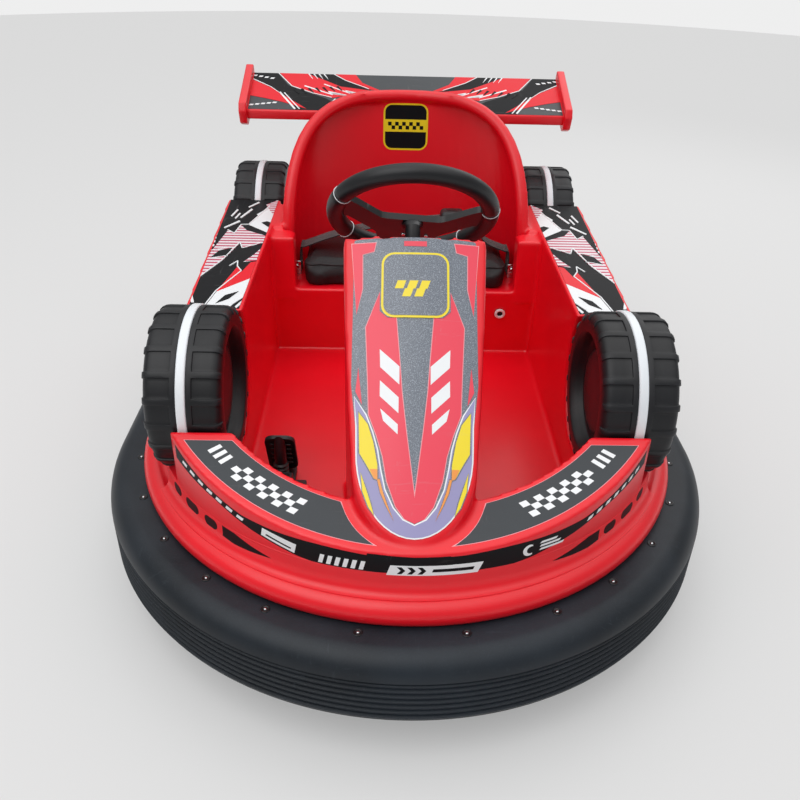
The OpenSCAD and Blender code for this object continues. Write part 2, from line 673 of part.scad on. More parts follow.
// Pedal: a base plate with a housing, a bellows and an inclined pad hinged at its rear end.
pedal_y = front_y + pedal_back;
pedal_len = 88;                  // length of the base plate, and of its narrow hinge part behind
hinge_len = 46;
hinge_w = 50;
pedal_base_t = 12;
housing = [54, 40, 46];
housing_y = 14;
bellows_d = 30;
bellows_y = 82;
pad_w = 58;
pad_t = 9;
pad_len = 116;
pad_lean = 24;
pad_y = 122;
module at_pedal(y) translate([-pedal_x, pedal_y + y, floor_z + pedal_base_t]) children();
module on_pad() at_pedal(pad_y) translate([0, 0, seat_gap]) rotate([pad_lean, 0, 0]) children();
module pedal_base() color("#141517") {
    at_pedal(0) translate([-pedal_w / 2, 0, -pedal_base_t]) cube([pedal_w, pedal_len, pedal_base_t]);
    at_pedal(pedal_len) translate([-hinge_w / 2, 0, -pedal_base_t])
        cube([hinge_w, hinge_len, pedal_base_t]);
    at_pedal(housing_y) translate([-housing[0] / 2, 0, 0]) cube(housing);
    difference() {
        at_pedal(bellows_y) cylinder(d = bellows_d, h = pad_len);
        on_pad() translate([-big / 2, -seat_gap, -big / 2]) cube(big);
    }
}
module pedal_pad() color("#0f1011") on_pad() translate([-pad_w / 2, 0, 0]) cube([pad_w, pad_t, pad_len]);

// Batteries under the pan, as one plain block.
module battery_block() color("#3b4046")
    translate([-battery_w / 2, tub_y + wall_t + 8, plate_top]) cube([battery_w, battery_len, battery_h]);

// Drive unit: a fork on a stem that turns in the dome, with a wheel that holds its motor.
leg_gap = 7;
leg_t = 8;
leg_in = drive_w / 2 + leg_gap;
leg_out = leg_in + leg_t;
leg_y = 22;
crown_z = roll_d + 6;
crown_t = 8;
crown_plate_r = 60;
washer_r = 45;
dome_under = floor_under - dome_top_t;
stem_rise = 24;
module drive_fork() color("#44484d") difference() {
    translate([0, drive_y, 0]) {
        for (x = [-leg_out, leg_in]) translate([x, -leg_y, roll_r - leg_y])
            cube([leg_t, 2 * leg_y, crown_z + crown_t - roll_r + leg_y]);
        translate([0, 0, crown_z]) cylinder(r = crown_plate_r, h = crown_t);
        translate([0, 0, crown_z]) cylinder(r = washer_r, h = dome_under - seat_gap - crown_z);
        translate([0, 0, crown_z]) cylinder(d = stem_d, h = floor_z + stem_rise - crown_z);
    }
    roll_place(0, drive_y) cylinder(d = axle_d, h = big, center = true);
}
module roll_place(x, y) translate([x, y, roll_r]) rotate([0, 90, 0]) children();
module pin(x, y, reach) roll_place(x, y) cylinder(d = axle_d, h = 2 * reach, center = true);
module tyre(x, y, w, bore_r) roll_place(x, y) rotate_extrude() polygon([[bore_r, -w / 2],
    [roll_r - 8, -w / 2], [roll_r, -w / 2 + 8], [roll_r, w / 2 - 8], [roll_r - 8, w / 2], [bore_r, w / 2]]);
module hub(x, y, w, hub_r, boss) roll_place(x, y) difference() {
    union() {
        cylinder(r = hub_r, h = w, center = true);
        cylinder(d = axle_d + 16, h = 2 * boss, center = true);
    }
    cylinder(d = axle_d + 2 * run_gap, h = big, center = true);
}
pin_proud = 8;
boss_gap = 1;
motor_r = 50;
module drive_axle() color("#b9bcc0") pin(0, drive_y, leg_out + pin_proud);
module drive_tyre() color("#1b1c1e") tyre(0, drive_y, drive_w, motor_r + seat_gap);
module drive_hub_motor() color("#7d8288") hub(0, drive_y, drive_w - 6, motor_r, leg_in - boss_gap);

// Rear wheels on fixed brackets that bolt on the chassis plate.
cheek_y = 28;
bracket_z = roll_d + 10;
flange_y = bolt_y + 18;
flange_x = bolt_x + 18;
rear_hub_r = 45;
module rear_bracket(x) difference() {
    translate([x, rear_y, 0]) {
        for (c = [-cheek_out, cheek_in]) translate([c, -cheek_y, roll_r - cheek_y])
            cube([cheek_t, 2 * cheek_y, bracket_z - roll_r + cheek_y]);
        translate([-cheek_out, -cheek_y, bracket_z]) cube([2 * cheek_out, 2 * cheek_y, cheek_t]);
        for (f = [-flange_x, cheek_out]) translate([f, -flange_y, plate_top])
            cube([flange_x - cheek_out, 2 * flange_y, cheek_t]);
    }
    translate([x, rear_y, 0]) bracket_bolts(bracket_z);
    roll_place(x, rear_y) cylinder(d = axle_d, h = 2 * cheek_out + 2, center = true);
}
module rear_brackets() color("#44484d") for (x = [-rear_x, rear_x]) rear_bracket(x);
module rear_axles() color("#b9bcc0") for (x = [-rear_x, rear_x]) pin(x, rear_y, cheek_out + pin_proud);
module rear_tyre(x) color("#1b1c1e") tyre(x, rear_y, rear_w, rear_hub_r + seat_gap);
module rear_hub(x) color("#8a8f95") hub(x, rear_y, rear_w - 4, rear_hub_r, cheek_in - boss_gap);
module rear_tyre_left() rear_tyre(rear_x);
module rear_tyre_right() rear_tyre(-rear_x);
module rear_hub_left() rear_hub(rear_x);
module rear_hub_right() rear_hub(-rear_x);

bumper_ring();
ring_rail();
chassis_plate();
floor_bearers();
drive_dome();
skirt_deck();
cockpit_tub();
side_pod_left();
side_pod_right();
front_wing();
nose_cowl();
seat_pedestal();
armrests();
seat_shell();
seat_cushion();
lap_belt();
belt_buckle();
belt_anchors();
tail_fairing();
wing_blade();
wing_end_plates();
wing_struts();
dummy_wheel_front_left();
dummy_wheel_front_right();
dummy_wheel_rear_left();
dummy_wheel_rear_right();
light_strips();
steering_rim();
steering_spokes();
steering_column();
column_bearing();
pedal_base();
pedal_pad();
charge_port();
battery_block();
drive_fork();
drive_axle();
drive_tyre();
drive_hub_motor();
rear_brackets();
rear_axles();
rear_tyre_left();
rear_hub_left();
rear_tyre_right();
rear_hub_right();
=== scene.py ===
import bpy
import json
import math
from mathutils import Matrix, Vector

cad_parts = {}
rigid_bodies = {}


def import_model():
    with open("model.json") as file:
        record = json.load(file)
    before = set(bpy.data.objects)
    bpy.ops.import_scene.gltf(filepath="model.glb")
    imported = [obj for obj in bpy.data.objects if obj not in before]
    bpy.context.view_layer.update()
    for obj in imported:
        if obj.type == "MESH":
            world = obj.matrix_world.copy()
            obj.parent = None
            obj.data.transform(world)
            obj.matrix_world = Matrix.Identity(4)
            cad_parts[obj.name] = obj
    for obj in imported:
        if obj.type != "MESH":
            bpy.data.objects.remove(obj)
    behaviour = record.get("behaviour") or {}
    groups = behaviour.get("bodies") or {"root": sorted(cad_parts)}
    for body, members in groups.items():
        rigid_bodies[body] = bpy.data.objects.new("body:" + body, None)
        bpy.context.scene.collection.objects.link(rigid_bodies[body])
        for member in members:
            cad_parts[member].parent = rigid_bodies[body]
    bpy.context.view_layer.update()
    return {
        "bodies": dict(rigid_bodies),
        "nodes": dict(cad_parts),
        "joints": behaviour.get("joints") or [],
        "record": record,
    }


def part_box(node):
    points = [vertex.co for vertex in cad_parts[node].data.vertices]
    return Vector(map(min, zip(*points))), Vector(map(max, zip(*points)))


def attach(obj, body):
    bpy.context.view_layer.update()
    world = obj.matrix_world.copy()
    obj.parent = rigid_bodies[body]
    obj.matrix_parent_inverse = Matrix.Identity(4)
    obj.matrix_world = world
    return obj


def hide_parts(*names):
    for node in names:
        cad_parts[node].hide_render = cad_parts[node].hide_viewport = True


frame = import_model()
print("frame loaded:", len(frame["nodes"]), "nodes")

mm = 0.001
radians = math.radians

# Camera solved from the photo: eye in metres, angles in degrees, lens and sensor in mm
photoCamera = {"eye": (-0.0514, -1.6389, 1.1805), "turn": -1.478, "down": 32.133, "roll": 1.588,
               "lens": 36.015, "sensor": 36}


def addCamera():
    turn, down, roll = (radians(photoCamera[key]) for key in ("turn", "down", "roll"))
    forward = Vector((-math.sin(turn) * math.cos(down), math.cos(turn) * math.cos(down), -math.sin(down)))
    side = Vector((math.cos(turn), math.sin(turn), 0))
    rise = side.cross(forward)
    right = side * math.cos(roll) + rise * math.sin(roll)
    top = rise * math.cos(roll) - side * math.sin(roll)
    bpy.ops.object.camera_add()
    camera = bpy.context.object
    camera.name = "photoCamera"
    camera.data.lens = photoCamera["lens"]
    camera.data.sensor_width = photoCamera["sensor"]
    camera.data.clip_start = 0.05
    axes = Matrix((right, top, -forward)).transposed().to_4x4()
    camera.matrix_world = Matrix.Translation(photoCamera["eye"]) @ axes
    bpy.context.scene.camera = camera


# Small helpers for selecting, shaping and finishing
def clearPicks():
    bpy.ops.object.select_all(action="DESELECT")


def pick(*objs):
    if bpy.context.object and bpy.context.object.mode != "OBJECT":
        done()
    clearPicks()
    for obj in objs:
        obj.select_set(True)
    bpy.context.view_layer.objects.active = objs[0]


def done():
    bpy.ops.object.mode_set(mode="OBJECT")


def editAll(obj, mode="FACE"):
    pick(obj)
    bpy.ops.object.mode_set(mode="EDIT")
    bpy.ops.mesh.select_mode(type=mode)
    bpy.ops.mesh.select_all(action="SELECT")


def editSome(obj, mode, parts, test):
    editAll(obj, mode)
    bpy.ops.mesh.select_all(action="DESELECT")
    done()
    for part in parts:
        part.select = bool(test(part))
    bpy.ops.object.mode_set(mode="EDIT")


def editFaces(obj, test):
    editSome(obj, "FACE", obj.data.polygons, lambda face: test(face.center, face.normal))


def editPoints(obj, test):
    editSome(obj, "VERT", obj.data.vertices, lambda point: test(point.co))


def applyModifier(obj, kind, **settings):
    modifier = obj.modifiers.new(kind.lower(), kind)
    for key, value in settings.items():
        setattr(modifier, key, value)
    pick(obj)
    bpy.ops.object.modifier_apply(modifier=modifier.name)


def bevelEdges(obj, width, segments=2, angle=40):
    applyModifier(obj, "BEVEL", width=width, segments=segments, limit_method="ANGLE",
                  angle_limit=radians(angle))


def turnShape(obj, degrees, axis, centre=(0, 0, 0)):
    editAll(obj)
    bpy.ops.transform.rotate(value=radians(degrees), orient_axis=axis, center_override=centre)
    done()


def duplicated(obj):
    pick(obj)
    bpy.ops.object.duplicate()
    return bpy.context.object


def joined(*objs):
    pick(*objs)
    if len(objs) > 1:
        bpy.ops.object.join()
    return bpy.context.object


def settle(obj):
    pick(obj)
    bpy.ops.object.transform_apply(location=True, rotation=True, scale=True)
    return obj


def smooth(obj, angle=None):
    pick(obj)
    if angle is None:
        bpy.ops.object.shade_smooth()
    else:
        bpy.ops.object.shade_smooth_by_angle(angle=radians(angle))


def faceOut(obj):
    editAll(obj)
    bpy.ops.mesh.remove_doubles(threshold=0.00002)
    bpy.ops.mesh.normals_make_consistent(inside=False)
    done()


def mergeFlats(obj):
    editAll(obj)
    bpy.ops.mesh.dissolve_limited(angle_limit=radians(2))
    done()


def cutFlat(obj, point, normal, keepBelow=True, fill=True):
    editAll(obj)
    bpy.ops.mesh.bisect(plane_co=point, plane_no=normal, use_fill=fill,
                        clear_outer=keepBelow, clear_inner=not keepBelow)
    done()


# Slices all that is in edit mode across one axis, at a spot in mm
def sliceAt(axis, spot):
    bpy.ops.mesh.select_all(action="SELECT")
    where, way = [0, 0, 0], [0, 0, 0]
    where[axis], way[axis] = spot * mm, 1
    bpy.ops.mesh.bisect(plane_co=where, plane_no=way)


def finish(obj, name, kind, replaced=(), angle=None, body="car"):
    settle(obj)
    smooth(obj, angle)
    obj.name = obj.data.name = name
    if kind:
        obj.data.materials.clear()
        obj.data.materials.append(skins[kind])
    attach(obj, body)
    if replaced:
        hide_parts(*replaced)
    return obj


def boxOf(node, unit=1):
    return tuple(Vector(corner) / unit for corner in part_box(node))


# Joined copy of CAD nodes, merged and free of their tags, as a start for a piece that replaces them
def cadCopy(*names):
    pick(*(frame["nodes"][name] for name in names))
    bpy.ops.object.duplicate()
    copies = list(bpy.context.selected_objects)
    for copy in copies:
        for key in list(copy.keys()):
            del copy[key]
    shape = joined(*copies)
    bpy.ops.object.parent_clear(type="CLEAR_KEEP_TRANSFORM")
    shape.data.materials.clear()
    editAll(shape, "VERT")
    bpy.ops.mesh.remove_doubles(threshold=0.00001)
    done()
    return shape


# Rotomoulded look: the copy is remeshed whole, its edges are worn round, and flats lose spare faces
def softMould(shape, voxel, rounds, keep):
    applyModifier(shape, "REMESH", mode="VOXEL", voxel_size=voxel)
    applyModifier(shape, "SMOOTH", factor=0.5, iterations=rounds)
    applyModifier(shape, "DECIMATE", ratio=keep)
    editAll(shape)
    bpy.ops.mesh.beautify_fill(angle_limit=radians(1))
    bpy.ops.mesh.normals_make_consistent(inside=False)
    done()
    print("moulding:", sum(len(face.vertices) - 2 for face in shape.data.polygons), "triangles")


def meshFrom(curve):
    clearPicks()
    obj = bpy.data.objects.new(curve.name, curve)
    bpy.context.collection.objects.link(obj)
    pick(obj)
    bpy.ops.object.convert(target="MESH")
    return bpy.context.object


# Tube along points in metres, thicker or thinner by the numbers given, with closed ends
def tubeAlong(points, radius, sizes=None, closed=False, sides=6):
    curve = bpy.data.curves.new("tubeLine", "CURVE")
    curve.dimensions = "3D"
    curve.bevel_depth, curve.bevel_resolution, curve.use_fill_caps = radius, sides, True
    spline = curve.splines.new("POLY")
    spline.points.add(len(points) - 1)
    for index, (point, place) in enumerate(zip(spline.points, points)):
        point.co = tuple(place) + (1,)
        point.radius = sizes[index] if sizes else 1
    spline.use_cyclic_u = closed
    tube = meshFrom(curve)
    faceOut(tube)
    return tube


# Flat filled shape from outlines in mm
def flatShape(outlines):
    curve = bpy.data.curves.new("flatOutline", "CURVE")
    curve.dimensions, curve.fill_mode = "2D", "BOTH"
    for outline in outlines:
        spline = curve.splines.new("POLY")
        spline.points.add(len(outline) - 1)
        for point, (u, v) in zip(spline.points, outline):
            point.co = (u * mm, v * mm, 0, 1)
        spline.use_cyclic_u = True
    return meshFrom(curve)


# Section of radius and height steps in mm, standing at a turn round the Z axis and ready to be spun
def sectionAt(section, turn, fill, y=0):
    clearPicks()
    bpy.ops.mesh.primitive_circle_add(vertices=len(section), radius=0.01, fill_type=fill)
    shape = bpy.context.object
    for point, (r, z) in zip(shape.data.vertices, section):
        point.co = (r * mm * math.cos(turn), y + r * mm * math.sin(turn), z * mm)
    editAll(shape)
    return shape


# Box with worn edges, in mm, as the start of small fittings
def blockAt(centre, size, bevel, segments=2, tilt=0):
    clearPicks()
    middle = [part * mm for part in centre]
    bpy.ops.mesh.primitive_cube_add(size=1, location=middle)
    block = bpy.context.object
    block.scale = [part * mm for part in size]
    settle(block)
    if tilt:
        turnShape(block, -tilt, "X", middle)
    bevelEdges(block, bevel * mm, segments)
    return block


# Turned part: radius and height steps in mm, drawn up from the first one, then stood on its axis at its spot
def turned(profile, steps, spot=(0, 0, 0), axis=(0, 0, 1)):
    radius, height = profile[0]
    clearPicks()
    bpy.ops.mesh.primitive_circle_add(vertices=steps, radius=radius * mm, fill_type="NGON",
                                      location=(0, 0, height * mm))
    part = settle(bpy.context.object)
    editAll(part)
    for nextRadius, nextHeight in profile[1:]:
        rise = (0, 0, (nextHeight - height) * mm)
        bpy.ops.mesh.extrude_region_move(TRANSFORM_OT_translate={"value": rise})
        if abs(nextRadius - radius) > 0.001:
            grow = nextRadius / radius
            bpy.ops.transform.resize(value=(grow, grow, 1), center_override=(0, 0, nextHeight * mm))
        radius, height = nextRadius, nextHeight
    done()
    faceOut(part)
    stand = Vector(axis).to_track_quat("Z", "Y").to_matrix().to_4x4()
    part.matrix_world = Matrix.Translation([value * mm for value in spot]) @ stand @ part.matrix_world
    return settle(part)


# Materials: shared groups give grain, wear and dust, and each finish places them with its own values
def newGroup(name, inputs, outputs):
    group = bpy.data.node_groups.new(name, "ShaderNodeTree")
    for title, value in inputs:
        socket = group.interface.new_socket(title, in_out="INPUT", socket_type="NodeSocketFloat")
        socket.default_value = value
    for title, kind in outputs:
        group.interface.new_socket(title, in_out="OUTPUT", socket_type="NodeSocket" + kind)
    return group, group.nodes.new("NodeGroupInput"), group.nodes.new("NodeGroupOutput")


# Noise from 0 to 1 at a number or a linked scale, with its own stretch
def noiseIn(nodes, links, coordinates, scale, detail=3.0, rough=0.5, stretch=None):
    noise = nodes.new("ShaderNodeTexNoise")
    noise.inputs["Detail"].default_value = detail
    noise.inputs["Roughness"].default_value = rough
    if isinstance(scale, (int, float)):
        noise.inputs["Scale"].default_value = scale
    else:
        links.new(scale, noise.inputs["Scale"])
    if stretch:
        mapping = nodes.new("ShaderNodeMapping")
        mapping.inputs["Scale"].default_value = stretch
        links.new(coordinates, mapping.inputs["Vector"])
        coordinates = mapping.outputs[0]
    links.new(coordinates, noise.inputs["Vector"])
    return noise.outputs["Fac"]


def mathIn(nodes, links, kind, first, second=None, third=None):
    node = nodes.new("ShaderNodeMath")
    node.operation = kind
    for socket, value in zip(node.inputs, (first, second, third)):
        if value is None:
            continue
        if isinstance(value, (int, float)):
            socket.default_value = value
        else:
            links.new(value, socket)
    return node.outputs[0]


def rangeIn(nodes, links, value, low, high, newLow=0.0, newHigh=1.0):
    node = nodes.new("ShaderNodeMapRange")
    links.new(value, node.inputs["Value"])
    for title, number in (("From Min", low), ("From Max", high), ("To Min", newLow), ("To Max", newHigh)):
        node.inputs[title].default_value = number
    return node.outputs[0]


def makeGrainGroup():
    group, source, result = newGroup("mouldGrain", (("Scale", 300), ("Waves", 14)), (("Height", "Float"),))
    nodes, links = group.nodes, group.links
    place = nodes.new("ShaderNodeTexCoord").outputs["Object"]
    fine = noiseIn(nodes, links, place, source.outputs["Scale"], 2)
    broad = noiseIn(nodes, links, place, source.outputs["Waves"], 2)
    total = mathIn(nodes, links, "MULTIPLY_ADD", broad, 2.0, fine)
    links.new(mathIn(nodes, links, "DIVIDE", total, 3), result.inputs["Height"])
    return group


def makeDustGroup():
    group, source, result = newGroup("dustFilm", (("Amount", 0.4), ("Scale", 6)), (("Mask", "Float"),))
    nodes, links = group.nodes, group.links
    place = nodes.new("ShaderNodeTexCoord").outputs["Object"]
    up = nodes.new("ShaderNodeSeparateXYZ")
    links.new(nodes.new("ShaderNodeNewGeometry").outputs["Normal"], up.inputs[0])
    flat = rangeIn(nodes, links, up.outputs["Z"], 0.1, 0.95)
    cloud = rangeIn(nodes, links, noiseIn(nodes, links, place, source.outputs["Scale"], 6, 0.62), 0.35, 0.72)
    specks = rangeIn(nodes, links, noiseIn(nodes, links, place, 420, 2), 0.5, 0.68)
    mixed = mathIn(nodes, links, "MULTIPLY_ADD", specks, 0.45, cloud)
    film = mathIn(nodes, links, "MULTIPLY", mixed, flat)
    links.new(mathIn(nodes, links, "MULTIPLY", film, source.outputs["Amount"]), result.inputs["Mask"])
    return group


def makeScuffGroup():
    group, source, result = newGroup("scuffMarks", (("Amount", 0.3),), (("Mask", "Float"),))
    nodes, links = group.nodes, group.links
    place = nodes.new("ShaderNodeTexCoord").outputs["Object"]
    along = noiseIn(nodes, links, place, 16, 5, 0.6, (0.6, 9, 4))
    across = noiseIn(nodes, links, place, 13, 5, 0.6, (10, 0.8, 5))
    lines = mathIn(nodes, links, "MAXIMUM", rangeIn(nodes, links, along, 0.62, 0.66),
                   rangeIn(nodes, links, across, 0.63, 0.67))
    patches = rangeIn(nodes, links, noiseIn(nodes, links, place, 5, 3), 0.45, 0.65)
    masked = mathIn(nodes, links, "MULTIPLY", lines, patches)
    links.new(mathIn(nodes, links, "MULTIPLY", masked, source.outputs["Amount"]), result.inputs["Mask"])
    return group


def makeEdgeGroup():
    group, source, result = newGroup("edgeWear", (("Amount", 0.5), ("Start", 0.52)), (("Mask", "Float"),))
    nodes, links = group.nodes, group.links
    place = nodes.new("ShaderNodeTexCoord").outputs["Object"]
    sharp = nodes.new("ShaderNodeNewGeometry").outputs["Pointiness"]
    over = mathIn(nodes, links, "SUBTRACT", sharp, source.outputs["Start"])
    edge = mathIn(nodes, links, "MULTIPLY", over, 14)
    broken = mathIn(nodes, links, "MULTIPLY", edge, noiseIn(nodes, links, place, 60, 4))
    node = nodes.new("ShaderNodeClamp")
    links.new(mathIn(nodes, links, "MULTIPLY", broken, source.outputs["Amount"]), node.inputs[0])
    links.new(node.outputs[0], result.inputs["Mask"])
    return group


shared = {"grain": makeGrainGroup(), "dust": makeDustGroup(), "scuff": makeScuffGroup(),
          "edge": makeEdgeGroup()}


def newMaterial(name, colour, roughness, shine=0.5, coat=0.0, coatRough=0.03, **extra):
    skin = bpy.data.materials.new(name)
    skin.use_nodes = True
    nodes, links = skin.node_tree.nodes, skin.node_tree.links
    shader = nodes["Principled BSDF"]
    shader.inputs["Base Color"].default_value = tuple(colour) + (1,)
    extra.update({"Roughness": roughness, "Specular IOR Level": shine, "Coat Weight": coat,
                  "Coat Roughness": coatRough})
    for key, value in extra.items():
        shader.inputs[key].default_value = value
    skin.diffuse_color = tuple(colour) + (1,)
    return skin, nodes, links, shader


def placeGroup(nodes, kind, **values):
    node = nodes.new("ShaderNodeGroup")
    node.node_tree = shared[kind]
    for key, value in values.items():
        node.inputs[key].default_value = value
    return node.outputs[0]


def blendColour(nodes, links, mask, first, second):
    mix = nodes.new("ShaderNodeMix")
    mix.data_type = "RGBA"
    links.new(mask, mix.inputs["Factor"])
    for socket, value in ((mix.inputs[6], first), (mix.inputs[7], second)):
        if isinstance(value, (tuple, list)):
            socket.default_value = tuple(value) + (1,)
        else:
            links.new(value, socket)
    return mix.outputs[2]


def addBump(nodes, links, shader, height, distance, strength=1.0):
    bump = nodes.new("ShaderNodeBump")
    bump.inputs["Distance"].default_value = distance
    bump.inputs["Strength"].default_value = strength
    links.new(height, bump.inputs["Height"])
    links.new(bump.outputs[0], shader.inputs["Normal"])


palette = {
    "red": (0.84, 0.003, 0.014), "redDeep": (0.74, 0.002, 0.011), "redDust": (0.82, 0.07, 0.09),
    "rubber": (0.006, 0.0085, 0.012), "rubberPale": (0.014, 0.020, 0.028),
    "rubberDust": (0.075, 0.088, 0.105), "black": (0.006, 0.0065, 0.008), "blackSoft": (0.012, 0.013, 0.016),
    "dust": (0.11, 0.10, 0.09), "white": (0.80, 0.83, 0.86), "bone": (0.70, 0.70, 0.68),
    "steel": (0.42, 0.43, 0.44), "steelDark": (0.030, 0.032, 0.035),
}


# A worn finish: base colour, a second shade in clouds, dust on what faces up, scuffs and worn edges
def wornSkin(name, tints, roughness, dusty=0.3, scuffed=0.2, edged=0.0, grain=300, bump=0.0003,
             waves=14, cloudScale=5, edgeColour=(0.4, 0.4, 0.4), shine=0.5, **extra):
    colour, shade, dust = (palette.get(tint, tint) for tint in tints)
    skin, nodes, links, shader = newMaterial(name, colour, roughness, shine, **extra)
    place = nodes.new("ShaderNodeTexCoord").outputs["Object"]
    cloud = rangeIn(nodes, links, noiseIn(nodes, links, place, cloudScale, 5, 0.6), 0.35, 0.7)
    tone = blendColour(nodes, links, cloud, colour, shade)
    film = placeGroup(nodes, "dust", Amount=dusty, Scale=cloudScale * 1.7)
    tone = blendColour(nodes, links, film, tone, dust)
    marks = placeGroup(nodes, "scuff", Amount=scuffed)
    tone = blendColour(nodes, links, marks, tone, dust)
    if edged:
        worn = placeGroup(nodes, "edge", Amount=edged)
        tone = blendColour(nodes, links, worn, tone, edgeColour)
    links.new(tone, shader.inputs["Base Color"])
    dull = mathIn(nodes, links, "MAXIMUM", film, marks)
    dull = rangeIn(nodes, links, dull, 0, 1, roughness, min(roughness + 0.4, 1))
    links.new(dull, shader.inputs["Roughness"])
    addBump(nodes, links, shader, placeGroup(nodes, "grain", Scale=grain, Waves=waves), bump)
    return skin


# Vinyl: pressed leather grain from cells, with a duller film where it was sat on
def vinylSkin():
    skin, nodes, links, shader = newMaterial("seatVinyl", (0.010, 0.010, 0.012), 0.36, shine=0.4)
    place = nodes.new("ShaderNodeTexCoord").outputs["Object"]
    cells = nodes.new("ShaderNodeTexVoronoi")
    cells.feature = "DISTANCE_TO_EDGE"
    cells.inputs["Scale"].default_value = 420
    links.new(place, cells.inputs["Vector"])
    grain = rangeIn(nodes, links, cells.outputs["Distance"], 0.0, 0.16)
    cloud = rangeIn(nodes, links, noiseIn(nodes, links, place, 7, 4, 0.6), 0.4, 0.7)
    tone = blendColour(nodes, links, cloud, (0.008, 0.008, 0.010), (0.016, 0.016, 0.019))
    tone = blendColour(nodes, links, grain, (0.004, 0.004, 0.005), tone)
    film = placeGroup(nodes, "dust", Amount=0.14, Scale=11)
    links.new(blendColour(nodes, links, film, tone, palette["dust"]), shader.inputs["Base Color"])
    links.new(rangeIn(nodes, links, cloud, 0, 1, 0.34, 0.5), shader.inputs["Roughness"])
    addBump(nodes, links, shader, grain, 0.0005, 0.7)
    return skin


# Webbing: weave on the strap's own UV map
def weaveSkin():
    skin, nodes, links, shader = newMaterial("beltWebbing", (0.015, 0.015, 0.017), 0.7)
    shader.inputs["Sheen Weight"].default_value = 0.25
    place = nodes.new("ShaderNodeUVMap").outputs[0]
    mapping = nodes.new("ShaderNodeMapping")
    mapping.inputs["Scale"].default_value = (150, 22, 1)
    links.new(place, mapping.inputs["Vector"])
    waves = []
    for kind in ("X", "Y"):
        wave = nodes.new("ShaderNodeTexWave")
        wave.bands_direction = kind
        wave.inputs["Scale"].default_value = 0.5
        links.new(mapping.outputs[0], wave.inputs["Vector"])
        waves.append(wave.outputs["Fac"])
    weave = mathIn(nodes, links, "MULTIPLY", *waves)
    tone = blendColour(nodes, links, weave, (0.010, 0.010, 0.012), (0.038, 0.039, 0.044))
    film = placeGroup(nodes, "dust", Amount=0.2, Scale=14)
    links.new(blendColour(nodes, links, film, tone, palette["dust"]), shader.inputs["Base Color"])
    addBump(nodes, links, shader, weave, 0.0004)
    return skin


skins = {
    "red": wornSkin("redPlastic", ("red", "redDeep", "redDust"), 0.32, dusty=0.05, scuffed=0.07, edged=0.25,
                    grain=520, bump=0.00012, waves=22, cloudScale=3, edgeColour=palette["redDust"],
                    coat=0.1, coatRough=0.2),
    "rubber": wornSkin("ringRubber", ("rubber", "rubberPale", "rubberDust"), 0.42, dusty=0.14, scuffed=0.2,
                       grain=380, bump=0.0002, waves=10, cloudScale=4, shine=0.3),
    "wheel": wornSkin("dummyBlack", ("black", "blackSoft", "dust"), 0.42, dusty=0.06, scuffed=0.08,
                      edged=0.5, grain=600, bump=0.00015, edgeColour=(0.05, 0.052, 0.06), shine=0.36),
    "strip": wornSkin("stripWhite", ("white", (0.72, 0.77, 0.82), "bone"), 0.32, dusty=0.1, scuffed=0.05,
                      bump=0.0001),
    "grip": wornSkin("gripFoam", ("black", "blackSoft", "dust"), 0.36, dusty=0.05, scuffed=0.05, grain=1400,
                     shine=0.4),
    "spoke": wornSkin("spokeBlack", ("black", (0.009, 0.009, 0.011), "dust"), 0.3, dusty=0.05, scuffed=0.08,
                      grain=900, bump=0.0001, shine=0.4),
    "trim": wornSkin("trimBlack", ("blackSoft", "black", "dust"), 0.42, dusty=0.2, edged=0.4, grain=700,
                     bump=0.0002, edgeColour=(0.09, 0.09, 0.1), shine=0.4),
    "vinyl": vinylSkin(),
    "webbing": weaveSkin(),
    "steel": wornSkin("paintedSteel", ("steelDark", (0.045, 0.047, 0.05), (0.12, 0.10, 0.085)), 0.5,
                      dusty=0.4, scuffed=0.4, edged=0.8, grain=240, bump=0.0002, edgeColour=(0.3, 0.3, 0.3)),
    "axle": wornSkin("brightSteel", ("steel", (0.32, 0.33, 0.34), (0.2, 0.18, 0.16)), 0.28, dusty=0.2,
                     scuffed=0.5, grain=1200, bump=0.00008, Metallic=1.0),
    "chrome": wornSkin("chromePlate", ((0.62, 0.63, 0.65), (0.55, 0.56, 0.58), (0.4, 0.38, 0.35)), 0.12,
                       dusty=0.1, scuffed=0.3, grain=900, bump=0.00005, Metallic=1.0),
    "port": wornSkin("portWhite", ("white", (0.74, 0.74, 0.72), "bone"), 0.35, dusty=0.2, scuffed=0.1,
                     bump=0.0001),
    "tyre": wornSkin("rollTyre", ((0.014, 0.014, 0.015), "rubberPale", (0.17, 0.155, 0.135)), 0.7, dusty=0.5,
                     scuffed=0.5, edged=0.4, grain=260, bump=0.0004, edgeColour=(0.1, 0.095, 0.09)),
    "motor": wornSkin("castMotor", ((0.22, 0.23, 0.24), (0.17, 0.175, 0.18), (0.15, 0.135, 0.12)), 0.46,
                      dusty=0.4, scuffed=0.3, edged=0.6, grain=420, Metallic=0.9),
    "battery": wornSkin("batteryCase", ((0.05, 0.055, 0.062), (0.065, 0.07, 0.078), "dust"), 0.55, dusty=0.5,
                        grain=500, bump=0.0002),
}


# Studio: pale floor, even light from above, darker round the sides so that gloss shows form
studio = {"floorRadius": 9, "floorGrey": 0.62, "floorGlow": 0.35, "backdrop": 0.86, "sky": 1.65,
          "side": 0.36, "sideTo": 0.45, "skyFrom": 0.95, "lampSize": 2.4,
          "lamps": {"keyLight": ((-1.2, -1.6, 2.6), (0, 0, 0.3), 22),
                    "rimLight": ((1.6, 2.2, 2.2), (0, 0.3, 0.4), 22 * 0.6)}}


